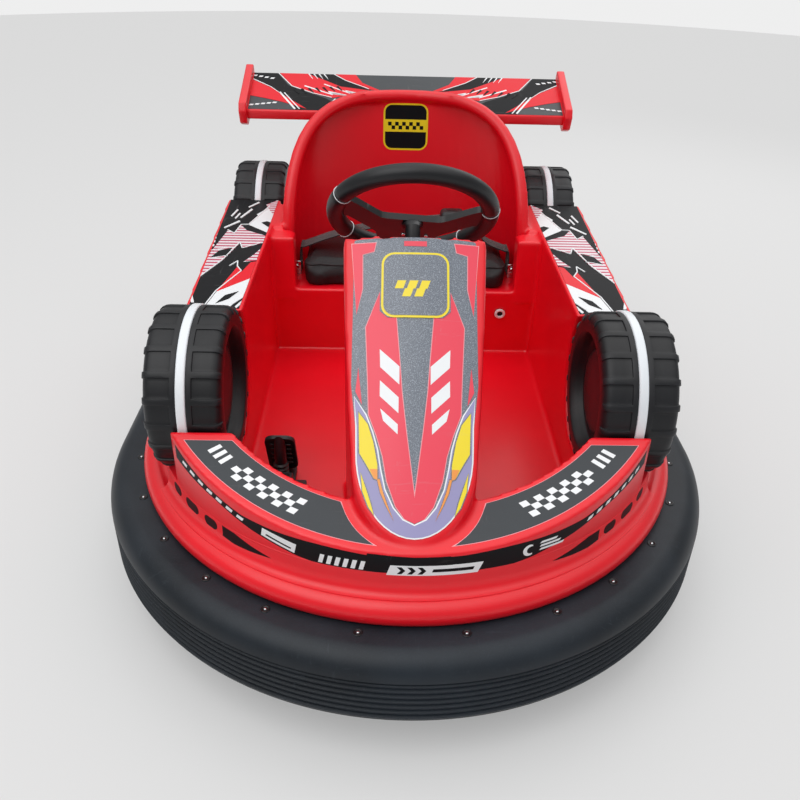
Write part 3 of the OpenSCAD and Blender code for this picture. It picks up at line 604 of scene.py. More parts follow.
def addFloor():
    clearPicks()
    bpy.ops.mesh.primitive_circle_add(vertices=96, radius=studio["floorRadius"], fill_type="NGON")
    floor = bpy.context.object
    floor.name = "studioFloor"
    skin, nodes, links, shader = newMaterial("floorPaper", (studio["floorGrey"],) * 3, 0.9)
    seen = nodes.new("ShaderNodeLightPath").outputs["Is Camera Ray"]
    glow = nodes.new("ShaderNodeEmission")
    glow.inputs["Color"].default_value = (studio["backdrop"],) * 3 + (1,)
    mix = nodes.new("ShaderNodeMixShader")
    share = mathIn(nodes, links, "MULTIPLY", seen, studio["floorGlow"])
    for socket, output in zip(mix.inputs, (share, shader.outputs[0], glow.outputs[0])):
        links.new(output, socket)
    links.new(mix.outputs[0], nodes["Material Output"].inputs["Surface"])
    floor.data.materials.append(skin)


def addLight():
    world = bpy.data.worlds.new("studioSky")
    bpy.context.scene.world = world
    world.use_nodes = True
    nodes, links = world.node_tree.nodes, world.node_tree.links
    split = nodes.new("ShaderNodeSeparateXYZ")
    links.new(nodes.new("ShaderNodeTexCoord").outputs["Generated"], split.inputs[0])
    level = rangeIn(nodes, links, split.outputs["Z"], studio["sideTo"], studio["skyFrom"],
                    studio["side"], studio["sky"])
    pale = nodes.new("ShaderNodeMix")
    pale.inputs["B"].default_value = studio["backdrop"]
    links.new(level, pale.inputs["A"])
    links.new(nodes.new("ShaderNodeLightPath").outputs["Is Camera Ray"], pale.inputs["Factor"])
    nodes["Background"].inputs["Color"].default_value = (1, 1, 1, 1)
    links.new(pale.outputs[0], nodes["Background"].inputs["Strength"])
    for name, (spot, aim, power) in studio["lamps"].items():
        bpy.ops.object.light_add(type="AREA", location=spot)
        light = bpy.context.object
        light.name = name
        light.data.size = studio["lampSize"]
        light.data.energy = power
        light.rotation_euler = (Vector(aim) - Vector(spot)).to_track_quat("-Z", "Y").to_euler()


# Red body: footwell, pods, front wing, cowl, pedestal, armrests and seat shell in one moulding
mould = {"body": (0.0038, 8, 0.245), "skirt": (0.0045, 3, 0.34), "tail": (0.005, 10, 0.4),
         "cowlVoxel": 0.0035, "corner": 4, "besideSeat": ((316, 322, 466), (34, 172, 58)),
         "besideArm": ((300, 204, 408), (63, 56, 158)), "armLean": -3.4}
bodyNodes = ("cockpit_tub", "side_pod_left", "side_pod_right", "front_wing", "seat_pedestal", "armrests",
             "seat_shell")
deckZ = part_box("skirt_deck")[1][2]

# The cowl's printed face and its lip, in mm: half widths near the nose and at the back, widened along it
cowlShape = {"rise": math.atan2(693 - 362, -370 + 715), "nose": (-715, 362), "crown": 600, "halfNose": 90,
             "halfBack": 116, "noseMid": -625, "backY": -370, "margin": 4.5, "lip": 16, "corner": 10,
             "wide": ((-560, 1.08), (-370, 1.018)), "round": 1.03, "reach": 1.14, "lipFrom": 660,
             "topFrom": 350, "noseLong": 1.055, "bend": (106.5, 233)}


def cowlWide(y):
    (near, most), (far, least) = cowlShape["wide"]
    return most + (least - most) * min(max((y - near) / (far - near), 0), 1)


def addCowlShape():
    shape = cadCopy("nose_cowl")
    rise, lipFrom = cowlShape["rise"], cowlShape["lipFrom"] * mm
    editPoints(shape, lambda p: p.y > (cowlShape["backY"] - 0.5) * mm and p.z > lipFrom)
    done()
    for point in shape.data.vertices:
        if point.select:
            out = cowlShape["lip"] + cowlShape["corner"] * (point.co.x / mm / cowlShape["halfBack"]) ** 2
            point.co += Vector((0, math.cos(rise), math.sin(rise))) * out * mm
    applyModifier(shape, "REMESH", mode="VOXEL", voxel_size=mould["cowlVoxel"])
    middle = cowlShape["noseMid"] * mm
    for point in shape.data.vertices:
        point.co.x *= cowlWide(point.co.y / mm) * cowlShape["round"]
        if point.co.y < middle:
            longer = (point.co.y - middle) * (cowlShape["reach"] - 1)
            point.co.y += longer
            if point.co.z > cowlShape["topFrom"] * mm:
                point.co.z += longer * math.tan(rise)
    return shape


# Rolled rim of the seat shell, in mm: s runs from its foot to its top, and a is the turn from the middle
rimShape = {"x": 310, "taper": 18, "y": 452, "lean": math.tan(radians(6)), "low": 360, "high": 408,
            "top": 0.985, "sink": 13, "depth": 214, "topDepth": 48, "deepTo": 0.3, "setBack": 12,
            "start": 0.2, "tube": 14.5, "foot": 1.12, "inset": 15, "bow": 34, "steps": 30, "across": 12,
            "rounds": 8}


def shellEdge(s, a):
    shape, turn = rimShape, radians(a)
    rise = max(0, (s - shape["deepTo"]) / (1 - shape["deepTo"]))
    depth = shape["topDepth"] + (shape["depth"] - shape["topDepth"]) * (1 - rise ** 1.7)
    half = (shape["x"] - shape["taper"] * s) * (1 - s ** 5) ** (1 / 3)
    x = (half - shape["inset"]) * math.sin(turn)
    back = shape["bow"] * abs(math.cos(turn)) ** 1.6
    y = shape["y"] + shape["high"] * s * shape["lean"] - depth + shape["setBack"] + back
    z = shape["low"] + shape["high"] * s / shape["top"] - shape["sink"] * min(1, s ** 8)
    return Vector((x, y, z)) * mm


def addSeatRim():
    steps, start, top = rimShape["steps"], rimShape["start"], rimShape["top"]
    shares = [start + (top - start) * math.sin(radians(90 * i / steps)) for i in range(steps + 1)]
    sizes = [1 + (rimShape["foot"] - 1) * (1 - i / steps) ** 2 for i in range(steps + 1)]
    across = [shellEdge(top, -90 + 180 * i / rimShape["across"]) for i in range(1, rimShape["across"])]
    line = [shellEdge(s, -90) for s in shares] + across + [shellEdge(s, 90) for s in reversed(shares)]
    for turn in range(rimShape["rounds"]):
        line[1:-1] = [(line[i - 1] + 2 * line[i] + line[i + 1]) / 4 for i in range(1, len(line) - 1)]
    return tubeAlong(line, rimShape["tube"] * mm, sizes + [1] * len(across) + sizes[::-1])


# Block on each side of the car, given for the left one
def bothSides(block, tilt=0):
    (x, y, z), size = block
    return [blockAt((side * x, y, z), size, mould["corner"], tilt=tilt) for side in (-1, 1)]


def addBody():
    shape = cadCopy(*bodyNodes)
    fills = bothSides(mould["besideSeat"]) + bothSides(mould["besideArm"], mould["armLean"])
    shape = joined(shape, addCowlShape(), addSeatRim(), *fills)
    softMould(shape, *mould["body"])
    return finish(shape, "bodyMoulding", "red", bodyNodes + ("nose_cowl",))


# Collar: slopes up from the skirt's deck to the front wing's foot, in mm
collarShape = {"middleY": -250, "reach": 62, "steps": 84, "printRadius": 493.6,
               "section": ((479, 258), (510, 258), (510, 262.3), (505, 263.2), (501, 265.5), (497.5, 270),
                           (495.2, 276), (493.9, 284), (493.4, 303), (491, 305), (479, 305))}


def addSkirt():
    shape = cadCopy("skirt_deck")
    softMould(shape, *mould["skirt"])
    finish(shape, "skirtMoulding", "red", ("skirt_deck",))
    collar = sectionAt(collarShape["section"], radians(-90 - collarShape["reach"]), "NGON")
    bpy.ops.mesh.spin(steps=collarShape["steps"], angle=-radians(2 * collarShape["reach"]), center=(0, 0, 0),
                      axis=(0, 0, 1))
    done()
    faceOut(collar)
    collar.location = (0, collarShape["middleY"] * mm, 0)
    return finish(collar, "wingFootCollar", "red", (), 35)


def addTail():
    shape = cadCopy("tail_fairing")
    softMould(shape, *mould["tail"])
    finish(shape, "tailMoulding", "red", ("tail_fairing",))


# Bumper ring: the drawing's section with a finer shoulder and soft ribs, swept round the car's outline
ringShape = {"outer": 600, "inner": 505.3, "low": 76, "top": 217.7, "shoulder": 42, "ribLow": 90, "ribs": 7,
             "groove": 4.0, "chamfer": 24, "arcY": 250, "steps": 96, "rows": 10, "gap": 0.3,
             "flat": ((545, -0.4), (530, 0)),
             "rib": ((1, 0.04), (0.72, 0.3), (0.34, 0.56), (0.06, 0.72), (0, 0.78), (0.08, 0.84),
                     (0.55, 0.9), (0.95, 0.95))}


def ringSection():
    shape = ringShape
    outer, top, shoulder = shape["outer"], shape["top"], shape["shoulder"]
    shoulderLow = top + shape["gap"] - shoulder
    pitch = (shoulderLow - shape["ribLow"]) / shape["ribs"]
    section = [(shape["inner"], top), (shape["inner"], shape["low"]),
               (outer - shape["chamfer"], shape["low"]), (outer - shape["groove"], shape["ribLow"])]
    section += [(outer - shape["groove"] * share, shape["ribLow"] + (rib + height) * pitch)
                for rib in range(shape["ribs"]) for share, height in shape["rib"]]
    for turn in range(5, 95, 5):
        section.append((outer - shoulder * (1 - math.cos(radians(turn))),
                        shoulderLow + (shoulder - shape["gap"]) * math.sin(radians(turn))))
    return section + [(radius, top + rise) for radius, rise in shape["flat"]]


def addRing():
    middle, rows = ringShape["arcY"] * mm, ringShape["rows"]
    ring = sectionAt(ringSection(), radians(180), "NOTHING", -middle)
    for way in (-1, 1):
        bpy.ops.mesh.spin(steps=ringShape["steps"], angle=-radians(180), center=(0, way * middle, 0),
                          axis=(0, 0, 1))
        for row in range(rows):
            bpy.ops.mesh.extrude_region_move(
                TRANSFORM_OT_translate={"value": (0, -way * 2 * middle / rows, 0)})
    done()
    faceOut(ring)
    finish(ring, "bumperRingRubber", "rubber", ("bumper_ring",), 34)


# Dummy wheels: one is modelled with its tread blocks, four are copied from it; radii and widths in metres,
# the core's radius and the (half width, radius) steps of shoulder and side in mm
wheelShape = {
    "steps": 160, "turn": -0.25, "pockets": 20, "firstPocket": 7, "halfPocket": 6.7, "treadFrom": 0.131,
    "blockRise": 0.003, "widest": 0.0675, "groove": 0.0085, "grooveDepth": 0.009, "bandEdge": 0.0185,
    "edge": 0.0012, "seam": 0.0002, "beadWidth": 0.0165, "beadProud": 0.002, "beadEdge": 0.003,
    "core": 146, "innerEdge": 33,
    "shoulder": ((48, 146), (54, 145.4), (59, 143.2), (63, 139), (65.6, 133), (66.4, 126)),
    "side": ((66, 113), (63, 110), (50, 106.5), (40, 104), (37, 96), (36, 84), (37, 80), (46, 77), (49, 62),
             (49, 20)),
}


def wheelPlaces():
    for end in ("Front", "Rear"):
        for side in ("Left", "Right"):
            node = ("dummy_wheel_%s_%s" % (end, side)).lower()
            low, high = boxOf(node)
            spot = ((low.x + high.x) / 2, (low.y + high.y) / 2, high.z - (high.y - low.y) / 2)
            yield "dummyWheel" + end + side, node, spot


def addWheels():
    low, high = boxOf("dummy_wheel_front_left")
    radius = (high.y - low.y) / 2
    pitch = 360 / wheelShape["pockets"]
    half = [(z, wheelShape["core"]) for z in (wheelShape["groove"] / mm, wheelShape["bandEdge"] / mm,
                                              wheelShape["innerEdge"])]
    half += wheelShape["shoulder"] + wheelShape["side"]
    profile = [(r, -z) for z, r in reversed(half)] + [(r, z) for z, r in half]
    wheel = turned(profile, wheelShape["steps"])
    turnShape(wheel, wheelShape["turn"], "Z")

    def isBlock(c, n):
        turn = math.degrees(math.atan2(c.y, c.x)) - wheelShape["firstPocket"]
        away = abs((turn + pitch / 2) % pitch - pitch / 2)
        raised = abs(c.z) < wheelShape["bandEdge"] or away > wheelShape["halfPocket"]
        return raised and c.xy.length >= wheelShape["treadFrom"]

    editFaces(wheel, isBlock)
    bpy.ops.mesh.extrude_region_shrink_fatten(TRANSFORM_OT_shrink_fatten={"value": wheelShape["blockRise"]})
    done()
    for point in wheel.data.vertices:
        point.co.z = min(max(point.co.z, -wheelShape["widest"]), wheelShape["widest"])
    editFaces(wheel, lambda c, n: c.xy.length > radius * 0.99 and abs(c.z) < wheelShape["groove"])
    bpy.ops.mesh.inset(thickness=wheelShape["seam"], depth=0)
    bpy.ops.transform.resize(value=((radius - wheelShape["grooveDepth"]) / radius,) * 2 + (1,))
    done()
    bevelEdges(wheel, wheelShape["edge"], 2, 34)
    wheel.matrix_world = Matrix.Rotation(radians(90), 4, "Y")
    settle(wheel)
    for name, node, spot in wheelPlaces():
        copy = duplicated(wheel)
        copy.location = spot
        settle(copy)
        cutFlat(copy, (0, 0, deckZ), (0, 0, 1), keepBelow=False)
        finish(copy, name, "wheel", (node,), 35)
    bpy.data.objects.remove(wheel)
    addBeads(radius)


# Light strips: rounded beads in the grooves of the four wheels
def addBeads(radius):
    beads = []
    for name, node, spot in wheelPlaces():
        clearPicks()
        bpy.ops.mesh.primitive_cylinder_add(vertices=96, radius=radius + wheelShape["beadProud"],
                                            depth=wheelShape["beadWidth"], end_fill_type="NGON",
                                            rotation=(0, radians(90), 0), location=spot)
        bead = settle(bpy.context.object)
        editFaces(bead, lambda c, n: abs(n.x) > 0.9)
        bpy.ops.mesh.inset(thickness=wheelShape["grooveDepth"], depth=0)
        bpy.ops.mesh.bridge_edge_loops()
        done()
        bevelEdges(bead, wheelShape["beadEdge"], 3)
        cutFlat(bead, (0, 0, deckZ), (0, 0, 1), keepBelow=False)
        beads.append(bead)
    finish(joined(*beads), "lightBeads", "strip", ("light_strips",), 40)


# Steering wheel: foam rim with seams, a spoke plate with its neck, and two screws; spokes in mm
steerShape = {"lean": 46.5, "tube": 0.034, "seams": (-117, -62, 45, 97), "seamDeep": 0.0011, "seamHalf": 1.1,
              "thread": 0.0009}
spokeShape = {"thick": 13, "dish": 3, "flat": 58, "rise": 118, "spin": -8, "slices": (-144, 145, 8),
              "edge": 0.0024, "neckShift": 33, "neckFrom": -26, "neckRun": 20,
              "outline": ((-142, -42), (-118, -38), (-86, -14), (-57, 8), (-48, 10), (48, 10), (57, 8),
                          (86, -14), (118, -38), (142, -42), (142, 12), (118, 18), (70, 58), (60, 70),
                          (52, 104), (46, 142), (-46, 142), (-52, 104), (-60, 70), (-70, 58), (-118, 18),
                          (-142, 12)),
              "neck": ((14, -28.5), (15, -24), (21, -8), (22, -5)), "screws": ((-16, 66), (28, 72)),
              "screw": ((4, 0), (4, 1.2), (3, 2.6), (1.4, 3))}


def onColumn(obj):
    low, high = boxOf("steering_rim")
    lean = Matrix.Rotation(-radians(steerShape["lean"]), 4, "X")
    obj.matrix_world = Matrix.Translation((low + high) / 2) @ lean @ obj.matrix_world
    return settle(obj)


def addSteering():
    low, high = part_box("steering_rim")
    tube = steerShape["tube"] / 2
    major = (high[0] - low[0]) / 2 - tube
    clearPicks()
    bpy.ops.mesh.primitive_torus_add(major_radius=major, minor_radius=tube, major_segments=180,
                                     minor_segments=28)
    rim = bpy.context.object
    threads = []
    for seam in steerShape["seams"]:
        editPoints(rim, lambda p: abs((math.degrees(math.atan2(p.x, p.y)) - seam + 180) % 360 - 180)
                   < steerShape["seamHalf"])
        bpy.ops.transform.shrink_fatten(value=-steerShape["seamDeep"])
        done()
        clearPicks()
        turn = radians(90 - seam)
        bpy.ops.mesh.primitive_torus_add(major_radius=tube - 0.0002, minor_radius=steerShape["thread"],
                                         major_segments=36, minor_segments=6,
                                         rotation=(radians(90), 0, turn),
                                         location=(major * math.cos(turn), major * math.sin(turn), 0))
        threads.append(settle(bpy.context.object))
    finish(onColumn(rim), "steeringRimGrip", "grip", ("steering_rim",), body="steering")
    finish(onColumn(joined(*threads)), "gripThreads", "strip", body="steering")
    addSpokes()


def dished(x, y):
    share = (math.hypot(x, y) - spokeShape["flat"]) / (spokeShape["rise"] - spokeShape["flat"])
    share = min(max(share, 0), 1)
    return -spokeShape["dish"] * (1 - share * share * (3 - 2 * share))


def addSpokes():
    plate = flatShape([spokeShape["outline"]])
    editAll(plate)
    for axis in (0, 1):
        for spot in range(*spokeShape["slices"]):
            sliceAt(axis, spot + 0.5)
    done()
    applyModifier(plate, "SOLIDIFY", thickness=spokeShape["thick"] * mm, offset=0)
    bevelEdges(plate, spokeShape["edge"], 3, 50)
    for point in plate.data.vertices:
        point.co.z += dished(point.co.x / mm, point.co.y / mm) * mm
    faceOut(plate)
    turnShape(plate, spokeShape["spin"], "Z")
    neck = turned(spokeShape["neck"], 40)
    for point in neck.data.vertices:
        share = min(max((point.co.z / mm - spokeShape["neckFrom"]) / spokeShape["neckRun"], 0), 1)
        point.co.y += spokeShape["neckShift"] * share * mm
    finish(onColumn(joined(plate, neck)), "steeringSpokePlate", "spoke", ("steering_spokes",), 35,
           "steering")
    under = 0.2 - spokeShape["dish"] - spokeShape["thick"] / 2
    heads = [turned(spokeShape["screw"], 16, (x, y, under), (0, 0, -1)) for x, y in spokeShape["screws"]]
    finish(onColumn(joined(*heads)), "spokeScrews", "chrome", (), 40, "steering")


# Seat cushion: the copy swells by cloth pressure, then gets a welt round its top edge; metres
cushionShape = {"voxel": 0.0055, "rounds": 6, "shrink": (0.985, 0.985, 0.9), "pressure": 4.0, "frames": 20,
                "cap": 0.012, "welt": 0.0027, "weltZ": 0.4105, "weltRounds": 3}


def swell(cushion, floor):
    start = [point.co.copy() for point in cushion.data.vertices]
    cloth = cushion.modifiers.new("swell", "CLOTH")
    cloth.settings.use_pressure = True
    cloth.settings.uniform_pressure_force = cushionShape["pressure"]
    cloth.settings.effector_weights.gravity = 0
    cloth.point_cache.frame_end = cushionShape["frames"]
    for step in range(1, cushionShape["frames"] + 1):
        bpy.context.scene.frame_set(step)
    pick(cushion)
    bpy.ops.object.modifier_apply(modifier="swell")
    bpy.context.scene.frame_set(1)
    for point, before in zip(cushion.data.vertices, start):
        move = point.co - before
        if move.length > cushionShape["cap"]:
            point.co = before + move.normalized() * cushionShape["cap"]
        point.co.z = max(point.co.z, floor)


def addCushion():
    low, high = boxOf("seat_cushion")
    middle = (low + high) / 2
    cushion = cadCopy("seat_cushion")
    editAll(cushion)
    bpy.ops.transform.resize(value=cushionShape["shrink"],
                             center_override=(middle.x, middle.y, low.z + 0.001))
    done()
    applyModifier(cushion, "REMESH", mode="VOXEL", voxel_size=cushionShape["voxel"])
    applyModifier(cushion, "SMOOTH", factor=0.5, iterations=cushionShape["rounds"])
    swell(cushion, low.z)
    applyModifier(cushion, "SUBSURF", levels=1, render_levels=1)
    cushion = joined(cushion, addWelt(cushion))
    finish(cushion, "seatCushion", "vinyl", ("seat_cushion",))


# Welt: the cushion's outline just below its top, as a cord sewn along it
def addWelt(cushion):
    line = duplicated(cushion)
    editAll(line)
    bpy.ops.mesh.bisect(plane_co=(0, 0, cushionShape["weltZ"]), plane_no=(0, 0, 1), clear_inner=True,
                        clear_outer=True)
    done()
    beside = {}
    for edge in line.data.edges:
        for index, other in (edge.vertices, reversed(edge.vertices)):
            beside.setdefault(index, []).append(other)
    loop, last = [next(iter(beside))], None
    while len(loop) < len(beside):
        here = loop[-1]
        step = [index for index in beside[here] if index != last and index not in loop[-2:]]
        if not step or step[0] == loop[0]:
            break
        loop, last = loop + [step[0]], here
    points = [line.data.vertices[index].co.copy() for index in loop]
    bpy.data.objects.remove(line)
    for turn in range(cushionShape["weltRounds"]):
        points = [(points[i - 1] + 2 * points[i] + points[(i + 1) % len(points)]) / 4
                  for i in range(len(points))]
    return tubeAlong(points[::2], cushionShape["welt"], closed=True, sides=3)


# Rear wing: node, name and edge width of each piece; blade and plates stand thicker or further in, in mm
rearWing = {"pieces": (("wing_blade", "rearWingBlade", 7), ("wing_end_plates", "rearWingPlates", 5),
                       ("wing_struts", "rearWingStruts", 3)),
            "bladeDeeper": 8, "plateFaces": ((430, 13), (444, 7)), "near": 3}


def addRearWing():
    pieces = []
    for node, name, width in rearWing["pieces"]:
        shape = cadCopy(node)
        mergeFlats(shape)
        if node == "wing_blade":
            editFaces(shape, lambda c, n: n.z < -0.9)
            bpy.ops.transform.translate(value=(0, 0, -rearWing["bladeDeeper"] * mm))
            done()
        if node == "wing_end_plates":
            for side in (-1, 1):
                for face, inwards in rearWing["plateFaces"]:
                    editPoints(shape, lambda p: abs(p.x - side * face * mm) < rearWing["near"] * mm)
                    bpy.ops.transform.translate(value=(-side * inwards * mm, 0, 0))
                    done()
        bevelEdges(shape, width * mm, 4, 30)
        pieces.append(finish(shape, name, "red", (node,), 35))
    return pieces[0]


# Lap belt in mm: two straps up to a buckle, (along, up) shares of their way, and bolts at the anchors
beltShape = {"x": 262, "y": 290, "width": 47, "thick": 2.6, "foot": 362, "top": 418.3, "crown": 86,
             "cup": 1.5, "buckle": 115, "halfBuckle": 24, "buckleEdge": 13, "button": (0.4, 0.36, 2.4),
             "boltIn": 11, "boltZ": 384, "bolt": ((7, 0), (7, 1.2), (5, 1.2), (5, 4.5), (3.5, 5.6)),
             "straps": ((1, ((0, 0.05), (0.1, 0.12), (0.45, 0.33), (0.75, 0.72), (1, 1))),
                        (-1, ((0, 0.07), (0.04, 0.16), (0.29, 0.53), (0.6, 0.81), (1, 1))))}


def smoothPath(points, steps):
    result = []
    for index in range(len(points) - 1):
        p0, p1 = Vector(points[max(index - 1, 0)]), Vector(points[index])
        p2, p3 = Vector(points[index + 1]), Vector(points[min(index + 2, len(points) - 1)])
        for step in range(steps):
            t = step / steps
            result.append(0.5 * (2 * p1 + (p2 - p0) * t + (2 * p0 - 5 * p1 + 4 * p2 - p3) * t * t
                                 + (3 * p1 - p0 - 3 * p2 + p3) * t ** 3))
    return result + [Vector(points[-1])]


def addStrap(side, rises):
    end = beltShape["buckle"] + side * beltShape["halfBuckle"]
    start = side * beltShape["x"]
    points = [(start + side * 2, beltShape["foot"])]
    points += [(start + (end - start) * along, beltShape["top"] + beltShape["crown"] * rise + 2)
               for along, rise in rises]
    path = smoothPath(points, 8)
    last = len(path) - 1
    clearPicks()
    bpy.ops.mesh.primitive_grid_add(x_subdivisions=last, y_subdivisions=6, size=1)
    strap = bpy.context.object
    for point in strap.data.vertices:
        x, z = path[min(round((point.co.x + 0.5) * last), last)]
        cup = beltShape["cup"] * (1 - (2 * point.co.y) ** 2)
        point.co = Vector((x, beltShape["y"] + point.co.y * beltShape["width"], z + cup)) * mm
    if side < 0:
        editAll(strap)
        bpy.ops.mesh.flip_normals()
        done()
    applyModifier(strap, "SOLIDIFY", thickness=beltShape["thick"] * mm, offset=0)
    return strap


def addBelt():
    straps = [addStrap(side, rises) for side, rises in beltShape["straps"]]
    finish(joined(*straps), "lapBeltWebbing", "webbing", ("lap_belt",), 50)
    low, high = boxOf("belt_buckle", mm)
    middle, size = (low + high) / 2, high - low
    housing = blockAt(middle, size, beltShape["buckleEdge"], 6)
    finish(housing, "beltBuckleHousing", "trim", ("belt_buckle",), 35)
    across, along, tall = beltShape["button"]
    button = blockAt(middle + Vector((0, 0, size.z / 2)), (size.x * across, size.y * along, tall), 1)
    finish(button, "beltButton", "spoke", (), 35)
    plates = cadCopy("belt_anchors")
    mergeFlats(plates)
    bevelEdges(plates, 0.0011)
    finish(plates, "beltAnchorPlates", "chrome", ("belt_anchors",), 35)
    low, high = boxOf("belt_anchors", mm)
    heads = [turned(beltShape["bolt"], 6, (side * (high.x - beltShape["boltIn"]), low.y, beltShape["boltZ"]),
                    (0, -1, 0)) for side in (-1, 1)]
    finish(joined(*heads), "beltAnchorBolts", "chrome", (), 30)


# Pedal in mm: base plate, housing, ribbed bellows and an arched pad with grip ribs
pedalShape = {"x": -248, "y": -460, "floor": 183, "base": 12, "width": 96, "length": 88, "hinge": (50, 46),
              "housing": (54, 40, 46), "housingY": 14, "bellowsY": 82, "bellowsR": 15, "bellowsTop": 116,
              "ribs": 5, "ribPitch": 9, "rib": ((3.5, 4), (0, 7), (0, 9), (3.5, 12)), "pad": (58, 9, 116),
              "lean": 24, "padY": 122, "padCorner": 17, "padEdge": 1.2, "dent": (5, 2), "boxDent": (5, 1.5),
              "grip": (40, 3, 5), "gripFrom": -34, "gripPitch": 17, "gripSink": 1.6}


def dentFaces(obj, test, size):
    editFaces(obj, test)
    bpy.ops.mesh.inset(thickness=size[0] * mm, depth=-size[1] * mm)
    done()


def addBellows(top):
    radius = pedalShape["bellowsR"]
    profile = [(radius - 1, 0)]
    profile += [(radius - sink, rib * pedalShape["ribPitch"] + height)
                for rib in range(pedalShape["ribs"]) for sink, height in pedalShape["rib"]]
    profile.append((radius - 4, pedalShape["bellowsTop"]))
    return turned(profile, 32, (pedalShape["x"], pedalShape["y"] + pedalShape["bellowsY"], top - 1))


def addPad(spot):
    size = pedalShape["pad"]
    thick = size[1]
    clearPicks()
    bpy.ops.mesh.primitive_cube_add(size=1, location=[part * mm for part in spot])
    pad = bpy.context.object
    pad.scale = [part * mm for part in size]
    settle(pad)
    points = pad.data.vertices
    editSome(pad, "EDGE", pad.data.edges, lambda edge: abs(
        points[edge.vertices[0]].co.y - points[edge.vertices[1]].co.y) > thick * mm * 0.9)
    bpy.ops.mesh.bevel(offset=pedalShape["padCorner"] * mm, segments=6)
    done()
    for side in (-1, 1):
        dentFaces(pad, lambda c, n: n.y * side > 0.9, pedalShape["dent"])
    bevelEdges(pad, pedalShape["padEdge"] * mm)
    ribs = [blockAt((spot[0], spot[1] + side * (thick / 2 - pedalShape["gripSink"]),
                     spot[2] + pedalShape["gripFrom"] + pedalShape["gripPitch"] * rib),
                    pedalShape["grip"], 1)
            for rib in range(5) for side in (-1, 1)]
    return joined(pad, *ribs)


def addPedal():
    shape = pedalShape
    x, y, base = shape["x"], shape["y"], shape["base"]
    middle, top = shape["floor"] + base / 2, shape["floor"] + base
    wide, deep, high = shape["housing"]
    parts = [blockAt((x, y + shape["length"] / 2, middle), (shape["width"], shape["length"], base), 3),
             blockAt((x, y + shape["length"] + shape["hinge"][1] / 2 - 1, middle),
                     (shape["hinge"][0], shape["hinge"][1] + 2, base), 3),
             blockAt((x, y + shape["housingY"] + deep / 2, top + high / 2 - 1),
                     (wide, deep, high + 2), 5, 3)]
    dentFaces(parts[2], lambda c, n: n.y < -0.9 or n.z > 0.9, shape["boxDent"])
    bellows = addBellows(top)
    lean = radians(shape["lean"])
    hinge = (x * mm, (y + shape["padY"]) * mm, top * mm)
    cutFlat(bellows, hinge, (0, math.cos(lean), math.sin(lean)))
    finish(joined(*parts, bellows), "pedalBase", "trim", ("pedal_base",), 35)
    pad = addPad((x, y + shape["padY"] + shape["pad"][1] / 2, top + 0.3 + shape["pad"][2] / 2))
    turnShape(pad, -shape["lean"], "X", hinge)
    finish(pad, "pedalPad", "trim", ("pedal_pad",), 35)


# Charging port in mm: white collar round a dark socket, square to the sloping wall
portShape = {"tilt": math.atan2(23, 177), "z": 300, "proud": 2,
             "collar": ((10, -16), (10, -2), (13, -2), (13.4, 0), (12.6, 2.2), (10.4, 3.2), (8, 2.6),
                        (7.2, 1), (7, -8), (0.4, -8)),
             "socket": ((6.9, -8), (6.9, -1.2), (5.4, -0.4), (5, -3), (0.4, -3))}


def addPort():
    low, high = boxOf("charge_port", mm)
    axis = (0, -math.cos(portShape["tilt"]), -math.sin(portShape["tilt"]))
    face = Vector(((low.x + high.x) / 2, low.y + portShape["proud"], portShape["z"]))
    finish(turned(portShape["collar"], 48, face, axis), "chargePortCollar", "port", ("charge_port",), 40)
    finish(turned(portShape["socket"], 40, face, axis), "chargePortSocket", "trim", (), 40)


# Studs that hold the ring: a small bright head in a dark dimple, round the car at the photo's turns, in mm
studShape = {"radius": 539.5, "top": 217.7, "arcY": 250, "turns": (9, 25.6, 39, 53, 67, 81),
             "sideY": (-187, -62, 62, 187),
             "washer": ((8, -1), (8, 0.5), (7.2, 1.2), (5.6, 1.2), (4.4, 0.5), (3.8, 0.3)),
             "head": ((2.7, 0), (2.7, 0.9), (2.3, 1.5), (1.5, 1.9), (0.7, 2))}


def studSpots(radius):
    arcs = [(side * radius * math.sin(radians(turn)),
             end * (studShape["arcY"] + radius * math.cos(radians(turn))))
            for end in (-1, 1) for side in (-1, 1) for turn in studShape["turns"]]
    return arcs + [(side * radius, y) for side in (-1, 1) for y in studShape["sideY"]]


def copiesAt(model, spots, height):
    copies = []
    for x, y in spots:
        copy = duplicated(model)
        copy.location = (x * mm, y * mm, height * mm)
        copies.append(settle(copy))
    bpy.data.objects.remove(model)
    return joined(*copies)


def addStuds():
    spots = studSpots(studShape["radius"])
    washers = copiesAt(turned(studShape["washer"], 20), spots, studShape["top"])
    finish(washers, "studWashers", "spoke", (), 40)
    finish(copiesAt(turned(studShape["head"], 14), spots, studShape["top"]), "studHeads", "chrome", (), 50)


# Bolts below in mm: hexagon heads under the plate's edge and over the wheel brackets, nuts below those
boltShape = {"hexagon": ((8.5, 0), (8.5, 1.4), (6.6, 1.4), (6.6, 5.6), (5.8, 6.6), (2, 6.6)),
             "nut": ((8.5, 0), (8.5, 6.4), (5.4, 6.6), (5.4, 11), (4.6, 11.6)), "plateRadius": 470,
             "under": 88, "over": 100, "bracket": (290, 430), "apart": (53, 50)}


def addBolts():
    (x, y), (across, along) = boltShape["bracket"], boltShape["apart"]
    brackets = [(side * x + left * across, y + back * along) for side in (-1, 1) for left in (-1, 1)
                for back in (-1, 1)]
    plate = studSpots(boltShape["plateRadius"])
    for name, profile, way, spots, height in (
            ("plateBolts", "hexagon", -1, plate, boltShape["under"]),
            ("bracketBolts", "hexagon", 1, brackets, boltShape["over"]),
            ("bracketNuts", "nut", -1, brackets, boltShape["under"])):
        model = turned(boltShape[profile], 6, axis=(0, 0, way))
        finish(copiesAt(model, spots, height), name, "axle", (), 30)


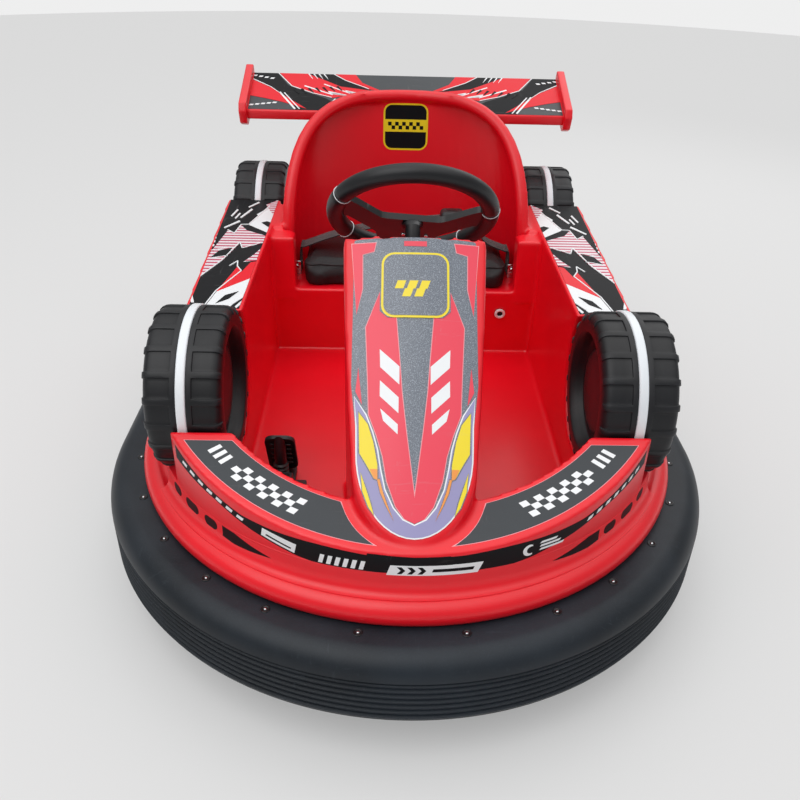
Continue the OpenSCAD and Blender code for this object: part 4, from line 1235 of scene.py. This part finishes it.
# Printed films: each layer lies a rise above the last one and sinks a little into what is below, in metres
filmShape = {"rise": 0.0003, "sink": 0.0002, "coatRough": 0.18, "spark": (0.42, 0.46, 0.52)}


# Laminate: printed film with a gloss coat, speckled where it is slate
def laminate(name, colour, speckle=0.0, rough=0.3, coat=0.5, shine=0.4, dusty=0.08):
    skin, nodes, links, shader = newMaterial(name, colour, rough, shine, coat, filmShape["coatRough"])
    place = nodes.new("ShaderNodeTexCoord").outputs["Object"]
    film = placeGroup(nodes, "dust", Amount=dusty, Scale=9)
    tone = blendColour(nodes, links, film, colour, tuple(0.7 * part + 0.08 for part in colour))
    if speckle:
        fine = rangeIn(nodes, links, noiseIn(nodes, links, place, 620, 2, 0.7), 0.5, 0.72, 0, speckle)
        tone = blendColour(nodes, links, fine, tone, filmShape["spark"])
    marks = placeGroup(nodes, "scuff", Amount=0.08)
    tone = blendColour(nodes, links, marks, tone, (0.45, 0.45, 0.46))
    links.new(tone, shader.inputs["Base Color"])
    links.new(rangeIn(nodes, links, film, 0, 0.3, rough, rough + 0.2), shader.inputs["Roughness"])
    addBump(nodes, links, shader, placeGroup(nodes, "grain", Scale=800, Waves=30), 0.00006)
    return skin


# Hatch: even bands across the car, in the print itself
def hatchPrint(name, first, second, pitch):
    skin, nodes, links, shader = newMaterial(name, first, 0.32, coat=0.2, coatRough=0.2)
    split = nodes.new("ShaderNodeSeparateXYZ")
    links.new(nodes.new("ShaderNodeTexCoord").outputs["Object"], split.inputs[0])
    phase = mathIn(nodes, links, "FRACT", mathIn(nodes, links, "DIVIDE", split.outputs["Y"], pitch))
    band = mathIn(nodes, links, "GREATER_THAN", phase, 0.52)
    tone = blendColour(nodes, links, band, first, second)
    film = placeGroup(nodes, "dust", Amount=0.12, Scale=9)
    links.new(blendColour(nodes, links, film, tone, (0.5, 0.46, 0.46)), shader.inputs["Base Color"])
    addBump(nodes, links, shader, placeGroup(nodes, "grain", Scale=800, Waves=30), 0.00006)
    return skin


prints = {
    "slate": laminate("printSlate", (0.105, 0.125, 0.16), 0.8, coat=0.6),
    "black": laminate("printBlack", (0.004, 0.0045, 0.006), rough=0.45, coat=0, shine=0.14, dusty=0.03),
    "charcoal": laminate("printCharcoal", (0.034, 0.040, 0.046), coat=0, shine=0.35),
    "white": laminate("printWhite", (0.82, 0.84, 0.86), coat=0.2),
    "yellow": laminate("printYellow", (0.86, 0.68, 0.012), coat=0.3),
    "orange": laminate("printOrange", (0.85, 0.30, 0.05), coat=0.3),
    "lavender": laminate("printLavender", (0.30, 0.28, 0.50), coat=0.3),
    "pink": laminate("printPink", (0.86, 0.34, 0.38), coat=0.2),
    # The red print is paler and pinker than the body's red: partly the print's own colour, partly a painted
    # reflection of the sky on its gloss
    "red": laminate("printRedAndPaintedReflection", (0.80, 0.040, 0.080), coat=0.3),
    "deepRed": laminate("printDeepRed", (0.76, 0.006, 0.018), coat=0, shine=0.2, dusty=0.04),
    "hatch": hatchPrint("printHatch", (0.80, 0.74, 0.78), (0.50, 0.035, 0.10), 0.0165),
}


def mirrored(*outlines):
    return list(outlines) + [[(-u, v) for u, v in reversed(outline)] for outline in outlines]


def box2(u0, v0, u1, v1, slant=0):
    return [(u0, v0), (u1, v0), (u1 + slant, v1), (u0 + slant, v1)]


def arcPoints(centre, radius, start, end, steps, squash=1.0):
    turns = [radians(start + (end - start) * step / steps) for step in range(steps + 1)]
    return [(centre[0] + radius * math.cos(turn), centre[1] + radius * math.sin(turn) * squash)
            for turn in turns]


def roundBox(u0, v0, u1, v1, radius):
    corners = ((u1 - radius, v0 + radius, -90), (u1 - radius, v1 - radius, 0),
               (u0 + radius, v1 - radius, 90), (u0 + radius, v0 + radius, 180))
    return [point for u, v, start in corners for point in arcPoints((u, v), radius, start, start + 90, 6)]


# Widens (or narrows) an outline by moving each point along the mean normal of its two edges
def grown(outline, reach):
    result = []
    area = sum(a[0] * b[1] - b[0] * a[1] for a, b in zip(outline, outline[1:] + outline[:1]))
    way = 1 if area > 0 else -1
    for index, point in enumerate(outline):
        before, after = outline[index - 1], outline[(index + 1) % len(outline)]
        first = Vector((point[0] - before[0], point[1] - before[1])).normalized()
        second = Vector((after[0] - point[0], after[1] - point[1])).normalized()
        normal = Vector((first.y + second.y, -first.x - second.x)) * way
        if normal.length > 0.01:
            normal /= max(normal.length_squared / 2, 0.5)
        result.append((point[0] + normal.x * reach, point[1] + normal.y * reach))
    return result


# Line along points, even or narrowing to its tip, with its ends cut square
def strip2(points, width, tip=None):
    left, right = [], []
    for index, point in enumerate(points):
        before, after = points[max(index - 1, 0)], points[min(index + 1, len(points) - 1)]
        along = Vector((after[0] - before[0], after[1] - before[1])).normalized()
        half = width / 2
        if tip is not None:
            half *= 1 + (tip - 1) * index / (len(points) - 1)
        left.append((point[0] - along.y * half, point[1] + along.x * half))
        right.append((point[0] + along.y * half, point[1] - along.x * half))
    return left + right[::-1]


# One printed layer: filled outlines are cut to the area, sliced, laid on the surface and thickened
def printLayer(outlines, kind, layer, place, onto, clips=(), step=(12, 12), wrap=True):
    film = flatShape(outlines)
    for (u, v), (nu, nv) in clips:
        cutFlat(film, (u * mm, v * mm, 0), (nu, nv, 0), fill=False)
    if not film.data.polygons:
        raise ValueError("no print left: " + kind)
    corners = [Vector(corner) / mm for corner in film.bound_box]
    editAll(film)
    for axis, size in enumerate(step):
        spot = math.ceil(min(corner[axis] for corner in corners) / size) * size
        while spot < max(corner[axis] for corner in corners):
            sliceAt(axis, spot)
            spot += size
    bpy.ops.mesh.select_all(action="SELECT")
    bpy.ops.mesh.quads_convert_to_tris()
    done()
    lift = layer * filmShape["rise"]
    for point in film.data.vertices:
        point.co = place(point.co.x / mm, point.co.y / mm, lift / mm) * mm
    if wrap:
        applyModifier(film, "SHRINKWRAP", target=onto, wrap_method="NEAREST_SURFACEPOINT",
                      wrap_mode="ABOVE_SURFACE", offset=lift)
    applyModifier(film, "SOLIDIFY", thickness=lift + filmShape["sink"], offset=-1)
    film.data.materials.clear()
    film.data.materials.append(prints[kind])
    return film


def printArea(name, layers, place, onto, clips=(), step=(12, 12), wrap=True):
    films = [printLayer(outlines, kind, number + 1, place, onto, clips, step, wrap)
             for number, (kind, outlines) in enumerate(layers)]
    piece = finish(joined(*films), name, None, (), 25)
    print("print laid:", name, len(piece.data.polygons), "faces")


# Cowl print: u across, v up the slope from the nose
def onCowl(u, v, lift):
    rise = cowlShape["rise"]
    y = cowlShape["nose"][0] + v * math.cos(rise)
    flat = u / cowlWide(y)
    sag = math.sqrt(cowlShape["crown"] ** 2 - flat * flat) - cowlShape["crown"] + lift
    return Vector((u, y - sag * math.sin(rise),
                   cowlShape["nose"][1] + v * math.sin(rise) + sag * math.cos(rise)))


# The cowl's edge in plan, drawn on the slope and kept back by the margin
def cowlEdge(inset, top):
    rise = cowlShape["rise"]
    squeeze = 1 / math.cos(rise)
    middle = (cowlShape["noseMid"] - cowlShape["nose"][0]) * squeeze
    most, least = cowlShape["wide"][0][1], cowlShape["wide"][1][1]
    half = cowlShape["halfNose"] * most - inset
    nose = [(u, middle + (v - middle) * cowlShape["noseLong"])
            for u, v in arcPoints((0, middle), half, 180, 360, 24, squeeze)]
    end = (cowlShape["backY"] - cowlShape["nose"][0]) * squeeze
    side = [(cowlShape["halfNose"] * most + 1 - inset, middle + 40),
            (cowlShape["bend"][0] - inset, cowlShape["bend"][1]),
            (cowlShape["halfBack"] * least - inset, end)]
    side = [point for point in side if point[1] < top - 6]
    side += [(side[-1][0] + (0.06 if top < end else 0) * (top - side[-1][1]), top)]
    return [(-u, v) for u, v in reversed(side)] + nose + side


def addCowlPrint(body):
    edge = cowlEdge(cowlShape["margin"], 482)
    bow = [(-100, 484.5), (-60, 487), (0, 488.5), (60, 487), (100, 484.5)]
    ground = edge + bow[::-1]
    redHalf = [(-54, 402), (-80, 330), (-75, 233), (-73, 184), (-60, 150), (-50, 117), (-43, 78), (-29, 39),
               (-15, 20), (0, 13), (0, 52), (-14, 160), (-21, 222), (-24, 263), (-31, 346), (-50, 354)]
    lampBack = [(-97, 215), (-76, 184), (-65, 156), (-57, 128), (-52, 98), (-45, 66), (-32, 38), (-17, 20)]
    lampBack += [(0, 12)] + [(-u, v) for u, v in reversed(lampBack)]
    noseEdge = [point for point in cowlEdge(cowlShape["margin"], 212)][1:-1]
    lampField = lampBack + noseEdge[::-1]
    lamp = [(-89, 188), (-86.5, 122), (-76, 105), (-63, 82), (-57.5, 80), (-58, 104), (-65, 140), (-74, 168)]
    crescent = [(-84, 92), (-80.5, 62), (-71, 38), (-62, 25), (-67.5, 44), (-75, 66)]
    blade = [(-58, 80), (-53, 60), (-44, 40), (-32, 17), (-42, 42), (-49, 62), (-54.5, 82)]
    bars = [[(-57, 292), (-25, 263), (-25, 233), (-56, 262)],
            [(-56, 240), (-26, 212), (-26, 186), (-56, 214)],
            [(-55, 194), (-27, 168), (-27, 152), (-50, 174)]]
    corner = [(-106, 477), (-66, 478), (-69, 463), (-88, 458), (-87, 397), (-96, 352)]
    frame = [(-45, 346), (-58, 357), (-58, 449), (-45, 461), (45, 461), (58, 449), (58, 357), (45, 346)]
    layers = [
        ("slate", [ground]),
        ("pink", mirrored(grown(redHalf[:9] + [(-3, 18)] + redHalf[10:], 1.2))
         + mirrored(grown(corner, 1.2))),
        ("red", mirrored(redHalf) + mirrored(corner) + mirrored([(-91, 262), (-95, 222), (-84, 200)])
         + [box2(-19, 472, 19, 481)]),
        ("white", [lampField] + mirrored(*bars)),
        ("lavender", [grown(lampField, -2.2)]),
        ("slate", mirrored(grown(lamp, 1.8), grown(crescent, 1.6), grown(blade, 0.9)) + [frame]),
        ("yellow", mirrored(lamp, crescent) + [roundBox(-56, 346, 56, 460, 21)]),
        ("orange", mirrored([(-70, 97), (-63, 82), (-57.5, 80), (-58, 97)], blade)),
        ("slate", [roundBox(-52.2, 349.8, 52.2, 456.2, 18)]),
        ("yellow", [box2(u, v, u + 14, v + 14, 5)
                    for u, v in ((-34, 396), (-14, 396), (6, 396), (-22, 382), (-2, 382))]),
    ]
    printArea("cowlPrint", layers, onCowl, body, step=(9, 12))


# Crescent print: plan points on the wing's sloping top
wingShape = {"middleY": -250, "outer": 493, "front": -743, "low": 340, "slope": math.tan(radians(18.5)),
             "endY": -543, "rIn": 420, "rOut": 480, "noseMid": -625, "noseClear": 118,
             "bandLow": ((0, 290.5), (11, 294), (22, 307), (32, 327), (40, 348), (54, 371)),
             "bandHigh": ((0, 334.5), (9, 336.5), (17, 341.5), (26, 342.5), (34, 347), (43, 367), (54, 398))}


def onCrescent(x, y, lift):
    return Vector((x, y, wingShape["low"] + (y - wingShape["front"]) * wingShape["slope"] + lift))


def ringPoint(radius, turn):
    return (radius * math.sin(radians(turn)), wingShape["middleY"] - radius * math.cos(radians(turn)))


def crescentPanel(margin):
    rIn, rOut = wingShape["rIn"] - margin, wingShape["rOut"] + margin
    endY, clear = wingShape["endY"] + margin, wingShape["noseClear"] - margin

    def startOf(radius):
        turn = 0
        while (Vector(ringPoint(radius, turn)) - Vector((0, wingShape["noseMid"]))).length < clear:
            turn += 0.25
        return turn

    def endOf(radius):
        return math.degrees(math.acos((wingShape["middleY"] - endY) / radius))

    outer = [ringPoint(rOut, startOf(rOut) + (endOf(rOut) - startOf(rOut)) * i / 26) for i in range(27)]
    inner = [ringPoint(rIn, endOf(rIn) + (startOf(rIn) - endOf(rIn)) * i / 26) for i in range(27)]
    a, b = Vector(inner[-1]), Vector(outer[0])
    low = math.atan2(a.y - wingShape["noseMid"], a.x)
    high = math.atan2(b.y - wingShape["noseMid"], b.x)
    turns = [low + (high - low) * i / 8 for i in range(1, 8)]
    bow = [(clear * math.cos(turn), wingShape["noseMid"] + clear * math.sin(turn)) for turn in turns]
    return outer + inner + bow


def addCrescentPrint(body):
    cells = []
    for column in range(10):
        for row in range(3):
            if (column + row) % 2:
                continue
            start, end = 22.5 + column * 1.72 + row * 0.4, 22.5 + (column + 1) * 1.72 + row * 0.4
            low, high = 436 + row * 10, 436 + (row + 1) * 10
            cells.append([ringPoint(low, start), ringPoint(low, end), ringPoint(high, end + 0.4),
                          ringPoint(high, start + 0.4)])
    for start in (42.2, 44.0, 45.8):
        cells.append([ringPoint(439, start), ringPoint(439, start + 1), ringPoint(461, start + 1.5),
                      ringPoint(461, start + 0.5)])
    layers = [("pink", mirrored(crescentPanel(0.9))), ("charcoal", mirrored(crescentPanel(0))),
              ("white", mirrored(*cells))]
    printArea("crescentPrint", layers, onCrescent, body, step=(14, 14))


# Band print: s round the wing's edge from the middle, v is the height
def onRound(radius):
    def place(s, v, lift):
        turn = s / radius
        reach = radius + lift
        return Vector((reach * math.sin(turn), wingShape["middleY"] - reach * math.cos(turn), v))
    return place


def bandLine(key, s):
    turn = abs(math.degrees(s / wingShape["outer"]))
    line = wingShape[key]
    for (start, low), (end, high) in zip(line, line[1:]):
        if turn <= end:
            return low + (high - low) * (turn - start) / (end - start)
    return line[-1][1]


# Slanted marks that follow the band's middle line
def bandMarks(start, pitch, count, wide, tall, slant):
    marks = []
    for index in range(count):
        s = start + pitch * index
        middle = [(bandLine("bandLow", spot) + bandLine("bandHigh", spot)) / 2 for spot in (s, s + wide)]
        marks.append([(s, middle[0] - tall / 2), (s + wide, middle[1] - tall / 2),
                      (s + wide + slant, middle[1] + tall / 2), (s + slant, middle[0] + tall / 2)])
    return marks


def addBandPrint(body):
    reach = 462
    spots = [reach * (i / 24 - 1) for i in range(49)]
    high, low = ([(s, bandLine(key, s)) for s in spots] for key in ("bandHigh", "bandLow"))
    ground = high[::-1] + low
    step = [(-76, 318), (60, 318), (56, 337), (0, 336.5), (-72, 339.5)]
    plate = [(-42, 300), (100, 300), (108, 320), (-36, 320)]
    chevrons = [[(u, 303), (u + 7, 303), (u + 13, 310), (u + 7, 317), (u, 317), (u + 6, 310)]
                for u in (-26, -10, 6)] + [box2(28, 307, 92, 313, 2)]
    slants = [box2(-150 + 13 * i, 306, -143 + 13 * i, 323, 4) for i in range(6)]
    wedge = [(-250, 325), (-190, 311), (-186, 329), (-247, 340)]
    wedgeLines = [[(-241, 328), (-196, 317.5), (-195, 320), (-240, 331)]]
    ring = arcPoints((185, 323), 11, 60, 300, 14) + arcPoints((188, 323), 7.5, 290, 70, 14)
    tailBars = [box2(204, 317 + 7 * i, 248 - 7 * i, 320.5 + 7 * i, 3) for i in range(3)]
    marks = bandMarks(-438, 23, 7, 13, 5.5, 3) + bandMarks(298, 21, 7, 10, 6.5, 3)
    layers = [("black", [ground]), ("black", [step]),
              ("white", [plate, wedge, ring] + slants + tailBars + marks), ("black", chevrons + wedgeLines)]
    printArea("bandPrint", layers, onRound(wingShape["outer"]), body, step=(10, 30))


def addCollarPrint(collar):
    radius = collarShape["printRadius"]
    turns = [radius * radians(turn) for turn in (54, 46.9, 40.8)]
    dashes = [roundBox(start, low, start + length, low + 19, 9)
              for start, length, low in zip(turns, (31, 42, 34), (282, 281, 280))]
    reach = [radius * radians(turn) for turn in (39.2, 36, 32, 27.2)]
    taper = [(reach[0], 279), (reach[0], 300), (reach[1], 299), (reach[2], 290), (reach[3], 282),
             (reach[2], 278), (reach[1], 276)]
    printArea("collarPrint", [("black", mirrored(*dashes, taper))], onRound(radius), collar, step=(10, 4))


# Pod prints: plan points, u outwards from the pod's inner edge
podShape = {"top": 498, "inner": 339, "start": 332, "front": -228.5, "rear": 423.5, "wheelY": -369,
            "frontX": 432, "flare": 36 / 931, "margin": 7}


def onPod(u, v, lift):
    return Vector((u, v, podShape["top"] + lift))


def podEdge(y):
    return podShape["frontX"] + podShape["flare"] * (y - podShape["wheelY"]) - podShape["margin"]


def addPodPrints(body):
    front, rear, inner = podShape["front"], podShape["rear"], podShape["inner"]
    shapes = {
        "ground": [(-8, front), (podEdge(front) - inner, front), (podEdge(rear) - inner, rear), (-8, rear)],
        "whiteWedge": [(62, -240), (50, -152), (-12, -78), (-12, -148), (18, -240)],
        "redWedge": [(50, -152), (-12, -78), (-12, 10), (4, 2), (16, -52), (29, -24)],
        "hatchBig": [(104, -96), (101, 62), (86, 196), (67, 174), (60, 232), (42, 198), (-12, 160),
                     (-12, 122), (33, 84), (44, 120), (66, 12)],
        "whiteRear": [(42, 236), (28, 300), (34, 312), (8, 372), (-12, 330), (-12, 182)],
        "hatchRear": [(20, 386), (-12, 432), (-12, 300), (6, 346)],
        "hatchSmall": [(-12, 100), (4, 44), (20, 4), (-12, 14)],
        "blackCuts": [[(60, 40), (96, 22), (84, 66), (58, 84)],
                      [(-12, 214), (14, 252), (2, 262), (-12, 250)],
                      [(20, -186), (42, -208), (30, -170), (6, -150)]],
        "slashes": [[(99, 214), (70, 264), (66, 255), (96, 208)],
                    [(72, 286), (53, 352), (48, 345), (67, 283)],
                    [(63, 366), (42, 406), (38, 399), (60, 360)],
                    [(101, -150), (84, -206), (90, -206), (104, -160)],
                    [(-12, -170), (8, -212), (12, -206), (-8, -158)],
                    [(-12, -200), (-2, -228), (2, -222), (-8, -192)],
                    [(84, 280), (78, 318), (74, 314), (80, 276)],
                    [(96, 296), (88, 346), (84, 340), (92, 292)]],
        "dots": [box2(100 + 2 * i, 92 + 24 * i, 104 + 2 * i, 102 + 24 * i, 1) for i in range(5)],
    }
    strokes = [strip2(line, 2.6) for line in (
        [(64, -236), (52, -150), (17, -46)], [(17, -46), (29, -22)], [(29, -22), (33, 8)],
        [(33, 8), (46, -20)], [(105, -100), (68, 10), (46, 120)], [(46, 120), (35, 84)],
        [(35, 84), (-10, 124)], [(87, 198), (68, 176)], [(68, 176), (61, 236)], [(61, 236), (43, 238)],
        [(43, 238), (10, 376)], [(102, 66), (60, 86)], [(60, 38), (97, 20)])]
    layers = [("black", [shapes["ground"]]), ("white", [shapes["whiteWedge"], shapes["whiteRear"]]),
              ("deepRed", [shapes["redWedge"]]),
              ("hatch", [shapes["hatchBig"], shapes["hatchRear"], shapes["hatchSmall"]]),
              ("black", shapes["blackCuts"]), ("white", strokes[::2] + shapes["slashes"] + shapes["dots"]),
              ("white", strokes[1::2])]
    for side, name in ((1, "podPrintLeft"), (-1, "podPrintRight")):
        clips = [((side * podShape["start"], 0), (-side, 0)), ((0, front), (0, -1)), ((0, rear), (0, 1)),
                 ((side * podEdge(0), 0), (side, -podShape["flare"]))]
        placed = [(kind, [[(side * (u + inner), v) for u, v in outline][::side] for outline in outlines])
                  for kind, outlines in layers]
        printArea(name, placed, onPod, body, clips, step=(400, 400), wrap=False)


# Rear wing print: u across, v up the blade's slope
bladeShape = {"y": 542, "z": 700, "slope": radians(21), "half": 415, "low": 5, "high": 175}


def onBlade(u, v, lift):
    slope = bladeShape["slope"]
    return Vector((u, bladeShape["y"] + v * math.cos(slope) - lift * math.sin(slope),
                   bladeShape["z"] + v * math.sin(slope) + lift * math.cos(slope)))


def addBladePrint(blade):
    half, low, high = bladeShape["half"], bladeShape["low"], bladeShape["high"]
    ground = box2(-half, low, half, high)
    blackBolts = [[(-415, 150), (-415, 176), (-352, 176), (-318, 118), (-262, 84), (-214, 60), (-150, 6),
                   (-290, 6), (-320, 60), (-372, 112)],
                  [(-268, 176), (-200, 176), (-160, 142), (-92, 100), (-176, 118), (-232, 140)]]
    redShards = [[(-415, 66), (-415, 140), (-362, 104), (-318, 62), (-262, 10), (-330, 40), (-372, 54)],
                 [(-346, 176), (-270, 176), (-176, 116), (-84, 98), (-196, 62), (-246, 80), (-306, 112)],
                 [(-194, 176), (-138, 176), (-118, 136), (-64, 98), (-100, 106), (-162, 144)]]
    whiteLines = [strip2([(-338, 84), (-292, 8)], 5), strip2([(-326, 82), (-280, 8)], 3),
                  strip2([(-274, 116), (-196, 76), (-210, 92), (-140, 70)], 5, 0.3),
                  strip2([(-222, 126), (-150, 84), (-164, 98), (-96, 76)], 4, 0.3),
                  strip2([(-415, 144), (-364, 108), (-330, 72)], 3, 0.4),
                  strip2([(-348, 174), (-308, 114), (-248, 82), (-198, 64)], 2.4),
                  strip2([(-196, 174), (-164, 146), (-100, 108)], 2.4)]
    ticks = [strip2([(-266 + 14 * i, 174), (-254 + 14 * i, 150)], 4, 0.2) for i in range(4)]
    ticks += [strip2([(-24 - 26 * i, 12 + 9 * i), (-30 - 26 * i, 30 + 12 * i)], 4, 0.2) for i in range(3)]
    ticks += [box2(-418 + 16 * i, 158 - 4 * i, -408 + 16 * i, 164 - 4 * i, 3) for i in range(4)]
    ticks += [box2(-414 + 15 * i, 20 + 3 * i, -404 + 15 * i, 26 + 3 * i, 3) for i in range(5)]
    ticks += [strip2([(-120 - 17 * i, 30 + 7 * i), (-132 - 17 * i, 10 + 7 * i)], 3.4, 0.3) for i in range(5)]
    slots = [strip2([(-300 + 19 * i, 98 + 3 * i), (-286 + 19 * i, 78 + 3 * i)], 7, 0.4) for i in range(7)]
    clips = [((-half, 0), (-1, 0)), ((half, 0), (1, 0)), ((0, low), (0, -1)), ((0, high), (0, 1))]
    layers = [("charcoal", [ground]), ("black", mirrored(*blackBolts)), ("deepRed", mirrored(*redShards)),
              ("white", mirrored(*whiteLines, *ticks)), ("black", mirrored(*slots))]
    printArea("bladePrint", layers, onBlade, blade, clips, step=(900, 900), wrap=False)


# Seat badge: rounded black plate print with a yellow belt of chequers
badgeShape = {"middle": -2, "width": 114, "low": 626, "high": 740, "radius": 22, "belt": (671, 701),
              "line": 4.5, "margin": 12, "shellY": 434, "shellZ": 360, "lean": math.tan(radians(6))}


def onSeat(u, v, lift):
    return Vector((u, badgeShape["shellY"] + (v - badgeShape["shellZ"]) * badgeShape["lean"] - lift, v))


def addSeatBadge(body):
    left, right = (badgeShape["middle"] + side * badgeShape["width"] / 2 for side in (-1, 1))
    low, high, line = badgeShape["low"], badgeShape["high"], badgeShape["line"]
    beltLow, beltHigh = badgeShape["belt"]
    margin = badgeShape["margin"]
    size = (beltHigh - beltLow - margin) / 2
    corners = [(left + margin + size * column, beltLow + margin / 2 + size * row)
               for column in range(10) for row in range(2) if (column + row) % 2]
    cells = [box2(u, v, u + size, v + size) for u, v in corners]
    layers = [("yellow", [roundBox(left, low, right, high, badgeShape["radius"])]),
              ("black", [roundBox(left + line, low + line, right - line, high - line,
                                  badgeShape["radius"] - line)]),
              ("yellow", [box2(left + 2, beltLow, right - 2, beltHigh)]), ("black", cells)]
    printArea("seatBadge", layers, onSeat, body)


# CAD nodes that stay, under the finish that they get
nodeSkins = {
    "steel": ("ring_rail", "chassis_plate", "floor_bearers", "drive_dome", "drive_fork", "rear_brackets"),
    "axle": ("drive_axle", "rear_axles"), "tyre": ("drive_tyre", "rear_tyre_left", "rear_tyre_right"),
    "motor": ("drive_hub_motor", "rear_hub_left", "rear_hub_right"), "battery": ("battery_block",),
    "spoke": ("steering_column",), "trim": ("column_bearing",),
}


def coatNodes():
    for kind, names in nodeSkins.items():
        for name in names:
            for slot in frame["nodes"][name].material_slots:
                slot.material = skins[kind]


bpy.context.scene.view_settings.view_transform = "Standard"
addCamera()
addFloor()
addLight()
print("camera and studio ready")
body = addBody()
print("body moulding ready")
collar = addSkirt()
addTail()
addRing()
print("skirt, tail and ring ready")
addWheels()
print("wheels ready")
addSteering()
addCushion()
addBelt()
addPedal()
addPort()
print("cockpit fittings ready")
addStuds()
addBolts()
print("studs and bolts ready")
blade = addRearWing()
addCowlPrint(body)
addCrescentPrint(body)
addBandPrint(body)
addCollarPrint(collar)
addPodPrints(body)
addBladePrint(blade)
addSeatBadge(body)
coatNodes()
print("nodes coated")
